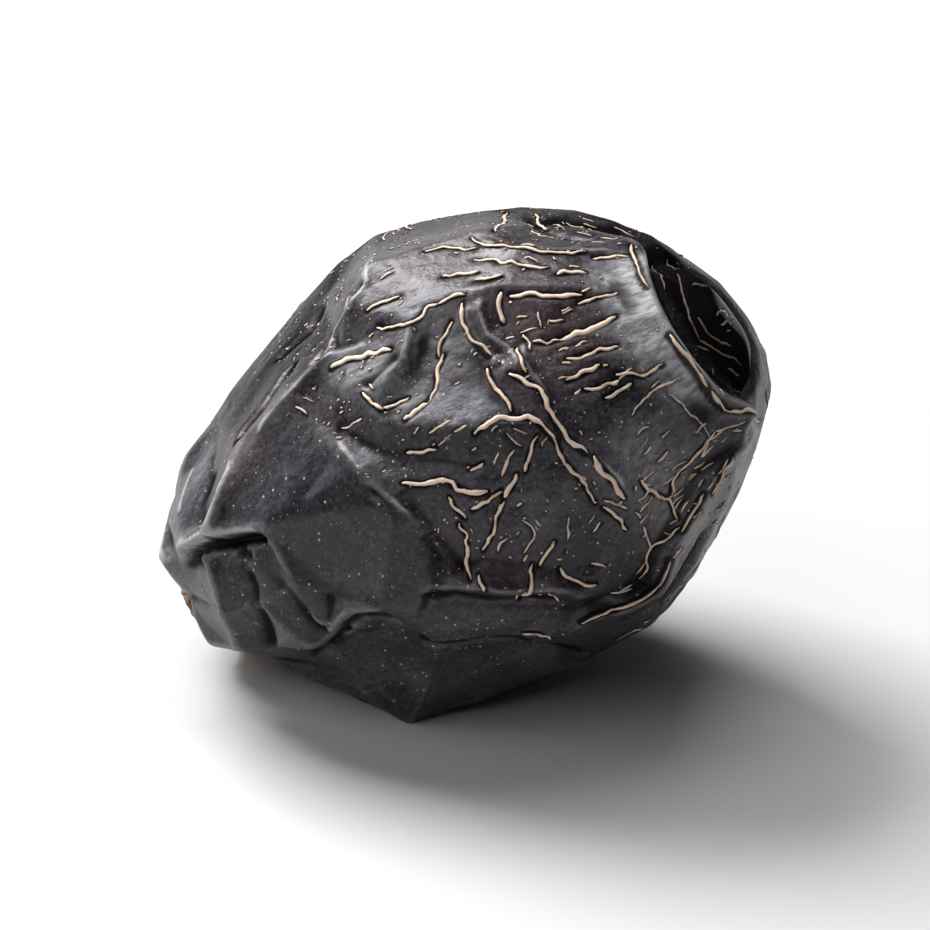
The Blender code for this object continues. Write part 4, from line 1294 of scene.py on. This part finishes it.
near = averaged(radius, standOut["near"])
broad = averaged(near, standOut["broad"])
wide = averaged(broad, standOut["wide"])
furrow = np.maximum((near - radius) / standOut["fine"], (broad - radius) / standOut["furrow"])
away = smoothStep(plumAway["start"], plumAway["full"], directions @ toViewer)
along = (skinPoints @ tipAxis)[:, None] * tipAxis
skinValues = {
    # Crest brightens crests to a pale grey, partly wear and partly painted highlight.
    "crest": np.clip((radius - near) / standOut["fine"], 0.0, 1.0),
    # Furrow sets the painted shade in creases.
    "furrow": neighbourMean(np.clip(furrow, 0.0, 1.0), quads),
    # Hollow lowers the bloom in hollows as painted shade.
    "hollow": np.clip((wide - near) / standOut["hollow"], 0.0, 1.0),
    # CrackNear sets the painted shade round the cracks; the same nearness also grooves the skin.
    "crackNear": crackNear,
    "bloomAndSheen": bloomAndSheenAmount(bodyPoints),
    # The dark zones' painted shade.
    "paintedZoneShade": zoneAmount(shakenPoints(bodyPoints), paintedShadeZones),
    "plum": np.maximum(zoneAmount(bodyPoints, plumZones), np.maximum(away, plumAway["inView"])),
    "lengthwise": (skinPoints - skinFinish["streakSquash"] * along) * millimetre,
}
for name, values in skinValues.items():
    addAttribute(skin, name, values)
print("the skin is made")


# A crack's finish: pale tan along its back and brown in blotches, with the brown at its edges as
# painted shade on the bead's sides, and on the disc mixed to dull dark painted shade.
def crackMaterial():
    material, wire, shader = newMaterial("tan crack")
    place = wire.add("ShaderNodeTexCoord", output=3)
    blotch = noise(wire, place, perMetre(cracks["grainSize"]))
    pale = attribute(wire, "back") + (blotch - 0.5) * cracks["blotches"]
    pale = pale.step(*cracks["paleMask"])
    feed(shader, "Base Color", pale.mix(cracks["edge"], cracks["colour"]))
    even, mottling = cracks["roughness"]
    feed(shader, "Roughness", even + blotch * mottling)
    addBump(wire, shader, blotch, *cracks["bump"])
    # On the disc the crack is painted in shade, dull and dark with no gloss.
    addDull(wire, shader, attribute(wire, "dimmed"), cracks["dim"])
    return material


# A sum of wavers, each with its height, its size and its channel.
def wavers(points, layers):
    return sum(height * waver(points, size, channel) for height, size, channel in layers)


# Beads along the cracks: a flattened round carried along each path on the skin, swelling with
# the root of a sine from end to end and shaken by noise, half sunk in its groove.
def addCracks():
    sides = cracks["sides"]
    turns = (np.arange(sides) + 0.5) * 2.0 * math.pi / sides
    everyPoint = unit(np.concatenate(crackPaths))
    everyRadius = skinRadius(everyPoint)
    points, faces, start, base = [], [], 0, 0
    for width, path in zip(crackWidths, crackPaths):
        count = len(path)
        out = everyPoint[start:start + count]
        line = out * (everyRadius[start:start + count] - cracks["sunk"] * width)[:, None]
        along = unit(np.gradient(line, axis=0))
        side = unit(np.cross(out, along))
        lift = np.cross(along, side)
        place = np.linspace(0.0, 1.0, count)
        swell = np.sin(math.pi * np.clip(place, cracks["bluntEnd"], 1.0 - cracks["bluntEnd"]))
        swell = np.minimum(1.0, cracks["swellSpeed"] * swell) ** 0.5
        half = width * swell * (cracks["thickness"] + wavers(path, cracks["thickening"]))
        wobble = wavers(path, cracks["wobble"])[:, None] * side
        rings = (line + wobble)[:, None] + half[:, None, None] * (
            np.cos(turns)[None, :, None] * side[:, None]
            + cracks["flatness"] * np.sin(turns)[None, :, None] * lift[:, None]
        )
        points.append(rings.reshape(-1, 3))
        index = base + np.arange(count * sides).reshape(count, sides)
        after = np.roll(index, -1, axis=1)
        walls = np.stack([index[:-1], after[:-1], after[1:], index[1:]], axis=-1).reshape(-1, 4)
        faces += walls.tolist() + [index[0, ::-1].tolist(), index[-1].tolist()]
        start += count
        base += count * sides
    points = np.concatenate(points)
    outward = unit(points)
    points = onGround(outward, np.linalg.norm(points, axis=-1)) + middle
    points[:, 2] = np.maximum(points[:, 2], cracks["offFloor"])
    piece = addPiece("skin_cracks", points, faces, crackMaterial())
    counts = [len(path) for path in crackPaths]
    strength = np.repeat(np.interp(crackWidths, *cracks["strength"]), counts)
    addAttribute(piece, "back", (strength[:, None] * np.sin(turns)).ravel())
    # How far each crack lies in the disc's painted shade.
    dimmed = cracks["dimming"] * zoneAmount(np.concatenate(crackPaths), {"disc": paintedShadeZones["disc"]})
    addAttribute(piece, "dimmed", np.repeat(dimmed, sides))


addCracks()
print("the cracks are made")

# The woody cap on the stem end.
cap = {
    "radius": 3.1,
    "lobes": 6,
    "lobeDepth": 0.45,
    "lobePower": 0.6,
    "lobeFloor": 0.6,
    "uneven": ((0.25, 2, 0.7), (0.15, 5, 2.0)),
    "fray": (0.12, 0.06),
    "thickness": 0.6,
    "edgeThickness": 0.25,
    "gap": 0.25,
    "edgeRound": 0.6,
    "scarRadius": 1.1,
    "scarEdge": (0.35, 1.0),
    "scarUneven": (0.15, 3),
    "scarDepth": 0.45,
    "rimRise": 0.25,
    "rimPlace": 1.35,
    "rimWidth": 0.42,
    "fibres": ((0.6, 0.16, 62), (0.4, 0.07, 63)),
    "fibreCircle": (3.0, 0.35),
    "fibreRise": 0.07,
    "fibreStart": (0.1, 0.4),
    "turn": 20.0,
    "around": 192,
    "across": 56,
    "light": (0.26, 0.165, 0.105),
    "dark": (0.052, 0.030, 0.020),
    "grainsPerMetre": 1500.0,
    "paleMask": (0.15, 0.75),
    "paleShares": {"fibre": 0.6, "mottle": 0.5, "scar": 0.75},
    "roughness": (0.62, 0.25),
    "bump": {"fibre": 0.6, "strength": 0.6, "depth": 0.08},
}


# How far the cap reaches at each turn round the stem: broad lobes with notches between, frayed
# by noise.
def capOutline(turn):
    lobes = np.abs(np.cos(cap["lobes"] * turn / 2)) ** cap["lobePower"]
    uneven = sum(height * np.sin(waves * turn + start) for height, waves, start in cap["uneven"])
    circle = np.stack([np.cos(turn), np.sin(turn), np.zeros_like(turn)], axis=-1)
    depth, size = cap["fray"]
    frayed = depth * waver(circle.reshape(-1, 3), size, 61).reshape(turn.shape)
    return cap["radius"] + cap["lobeDepth"] * (lobes - cap["lobeFloor"] + uneven) + frayed


# Cap: dry brown wood in fibres that run out from the scar.
def capMaterial():
    material, wire, shader = newMaterial("woody cap")
    fibre, scar = attribute(wire, "fibre"), attribute(wire, "scar")
    mottle = noise(wire, wire.add("ShaderNodeTexCoord", output=3), cap["grainsPerMetre"])
    share = cap["paleShares"]
    pale = fibre * share["fibre"] + mottle * share["mottle"] - scar * share["scar"]
    feed(shader, "Base Color", pale.step(*cap["paleMask"]).mix(cap["dark"], cap["light"]))
    even, mottling = cap["roughness"]
    feed(shader, "Roughness", even + mottle * mottling)
    share = cap["bump"]
    height = mottle + fibre * share["fibre"]
    addBump(wire, shader, height, share["strength"], share["depth"])
    return material


# The cap as a closed sheet: one parameter runs round the stem, the other from the middle of the
# outside over the edge to the middle of the underside. The underside follows the dish.
def addCap():
    around, across = cap["around"], cap["across"]
    turns = np.arange(around) * 2.0 * math.pi / around
    tilts = np.linspace(0.0, 2.0, 2 * across + 1)[1:-1]
    turn, tilt = np.meshgrid(turns, tilts, indexing="ij")
    inward = np.where(tilt <= 1.0, tilt, 2.0 - tilt)
    fromAxis = inward * capOutline(turn + math.radians(cap["turn"]))
    ring = np.cos(turn)[..., None] * stemAcross - np.sin(turn)[..., None] * stemSideways
    flat = fromAxis[..., None] * ring
    directions = unit(flat - tipAxis * (fruit["length"] / 2 - ends["dishDepth"])).reshape(-1, 3)
    wide, long = cap["fibreCircle"]
    circle = np.stack([wide * np.cos(turn), wide * np.sin(turn), long * fromAxis], axis=-1)
    fibre = wavers(circle.reshape(-1, 3), cap["fibres"]).reshape(turn.shape)
    outward = np.sqrt(np.clip(1.0 - tilt, 0.0, 1.0) + 1e-6) ** cap["edgeRound"]
    thickness = cap["edgeThickness"] + (cap["thickness"] - cap["edgeThickness"]) * outward
    share, waves = cap["scarUneven"]
    scarReach = cap["scarRadius"] * (1.0 + share * np.sin(waves * turn))
    scar = 1.0 - smoothStep(*cap["scarEdge"], fromAxis / scarReach)
    rimPlace = cap["rimPlace"] * cap["scarRadius"]
    rim = np.exp(-(((fromAxis - rimPlace) / cap["rimWidth"]) ** 2))
    relief = cap["rimRise"] * rim - cap["scarDepth"] * scar
    relief += cap["fibreRise"] * fibre * smoothStep(*cap["fibreStart"], inward)
    outside = np.where(tilt < 1.0, thickness + relief, 0.0)
    radius = seatRadius(directions) + cap["gap"] + outside.ravel()
    points = directions * radius[:, None] + middle
    index = np.arange(around * (2 * across - 1)).reshape(around, -1)
    after = np.roll(index, -1, axis=0)
    walls = np.stack([index[:, :-1], index[:, 1:], after[:, 1:], after[:, :-1]], axis=-1)
    rings = [index[::-1, 0], index[:, -1]]
    poles = np.array([points[ring].mean(axis=0) for ring in rings])
    faces = walls.reshape(-1, 4).tolist()
    for k, ring in enumerate(rings):
        faces += [[len(points) + k, a, b] for a, b in zip(ring, np.roll(ring, -1))]
    piece = addPiece("date_cap", np.concatenate([points, poles]), faces, capMaterial())
    scarred = np.where(tilt < 1.0, scar, 0.0).ravel()
    addAttribute(piece, "fibre", np.concatenate([fibre.ravel() * 0.5 + 0.5, [0.5, 0.5]]))
    addAttribute(piece, "scar", np.concatenate([scarred, [1.0, 0.0]]))
    shape = bmesh.new()
    shape.from_mesh(piece.data)
    bmesh.ops.recalc_face_normals(shape, faces=shape.faces)
    shape.to_mesh(piece.data)
    shape.free()
    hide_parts("calyx")


addCap()
print("the cap is made")

# The plain pale floor, the soft lights and the camera. Distances are in metres. Each light has its
# turn and its rise in degrees, the side of its square, and its power in watts.
studio = {
    "floor": (0.52, 0.52, 0.52),
    "floorRoughness": 0.6,
    "floorSize": 3.0,
    "world": 0.04,
    "lightDistance": 0.5,
    "lightTarget": (0.0, 0.0, 0.012),
    "lights": {
        "key": (135.0, 50.0, 0.26, 4.8),
        "left": (178.0, 24.0, 0.26, 0.6),
        "front": (240.0, 48.0, 0.30, 0.6),
        "top": (80.0, 80.0, 0.26, 1.0),
    },
    "cameraTarget": (0.0, 0.0, 0.0115),
    "distance": 0.42,
    "fieldWidth": 0.046,
    "filmWidth": 36.0,
    "seenFrom": 0.01,
    "seenTo": 20.0,
}


def addFloor():
    material, _, shader = newMaterial("pale floor")
    feed(shader, "Base Color", (*studio["floor"], 1.0))
    feed(shader, "Roughness", studio["floorRoughness"])
    half = studio["floorSize"] / 2
    corners = [(-half, -half, 0.0), (half, -half, 0.0), (half, half, 0.0), (-half, half, 0.0)]
    mesh = bpy.data.meshes.new("floor")
    mesh.from_pydata(corners, [], [(0, 1, 2, 3)])
    mesh.materials.append(material)
    floor = addObject("floor", mesh)


# A matrix that looks from a place to a target.
def lookAt(place, target):
    back = unit(np.array(place) - np.array(target))
    right = unit(np.cross([0.0, 0.0, 1.0], back))
    rows = np.stack([right, np.cross(back, right), back, np.array(place)], axis=1)
    return Matrix([*rows.tolist(), [0.0, 0.0, 0.0, 1.0]])


def addLight(name, place, size, power):
    light = bpy.data.lights.new(name, "AREA")
    light.shape = "SQUARE"
    light.size = size
    light.energy = power
    addObject(name, light).matrix_world = lookAt(place, studio["lightTarget"])


def addCamera():
    camera = bpy.data.cameras.new("camera")
    camera.sensor_width = studio["filmWidth"]
    camera.lens = camera.sensor_width * studio["distance"] / studio["fieldWidth"]
    camera.clip_start = studio["seenFrom"]
    camera.clip_end = studio["seenTo"]
    holder = addObject("camera", camera)
    target = np.array(studio["cameraTarget"])
    holder.matrix_world = lookAt(target + toViewer * studio["distance"], target)
    bpy.context.scene.camera = holder


addFloor()
for name, (turn, rise, size, power) in studio["lights"].items():
    addLight(name, turned(rise, turn) * studio["lightDistance"], size, power)
world = bpy.data.worlds.new("studio")
bpy.context.scene.world = world
world.use_nodes = True
background = world.node_tree.nodes["Background"]
feed(background, "Color", (1.0, 1.0, 1.0, 1.0))
feed(background, "Strength", studio["world"])
bpy.context.scene.view_settings.view_transform = "Standard"
addCamera()
print("the studio is set")
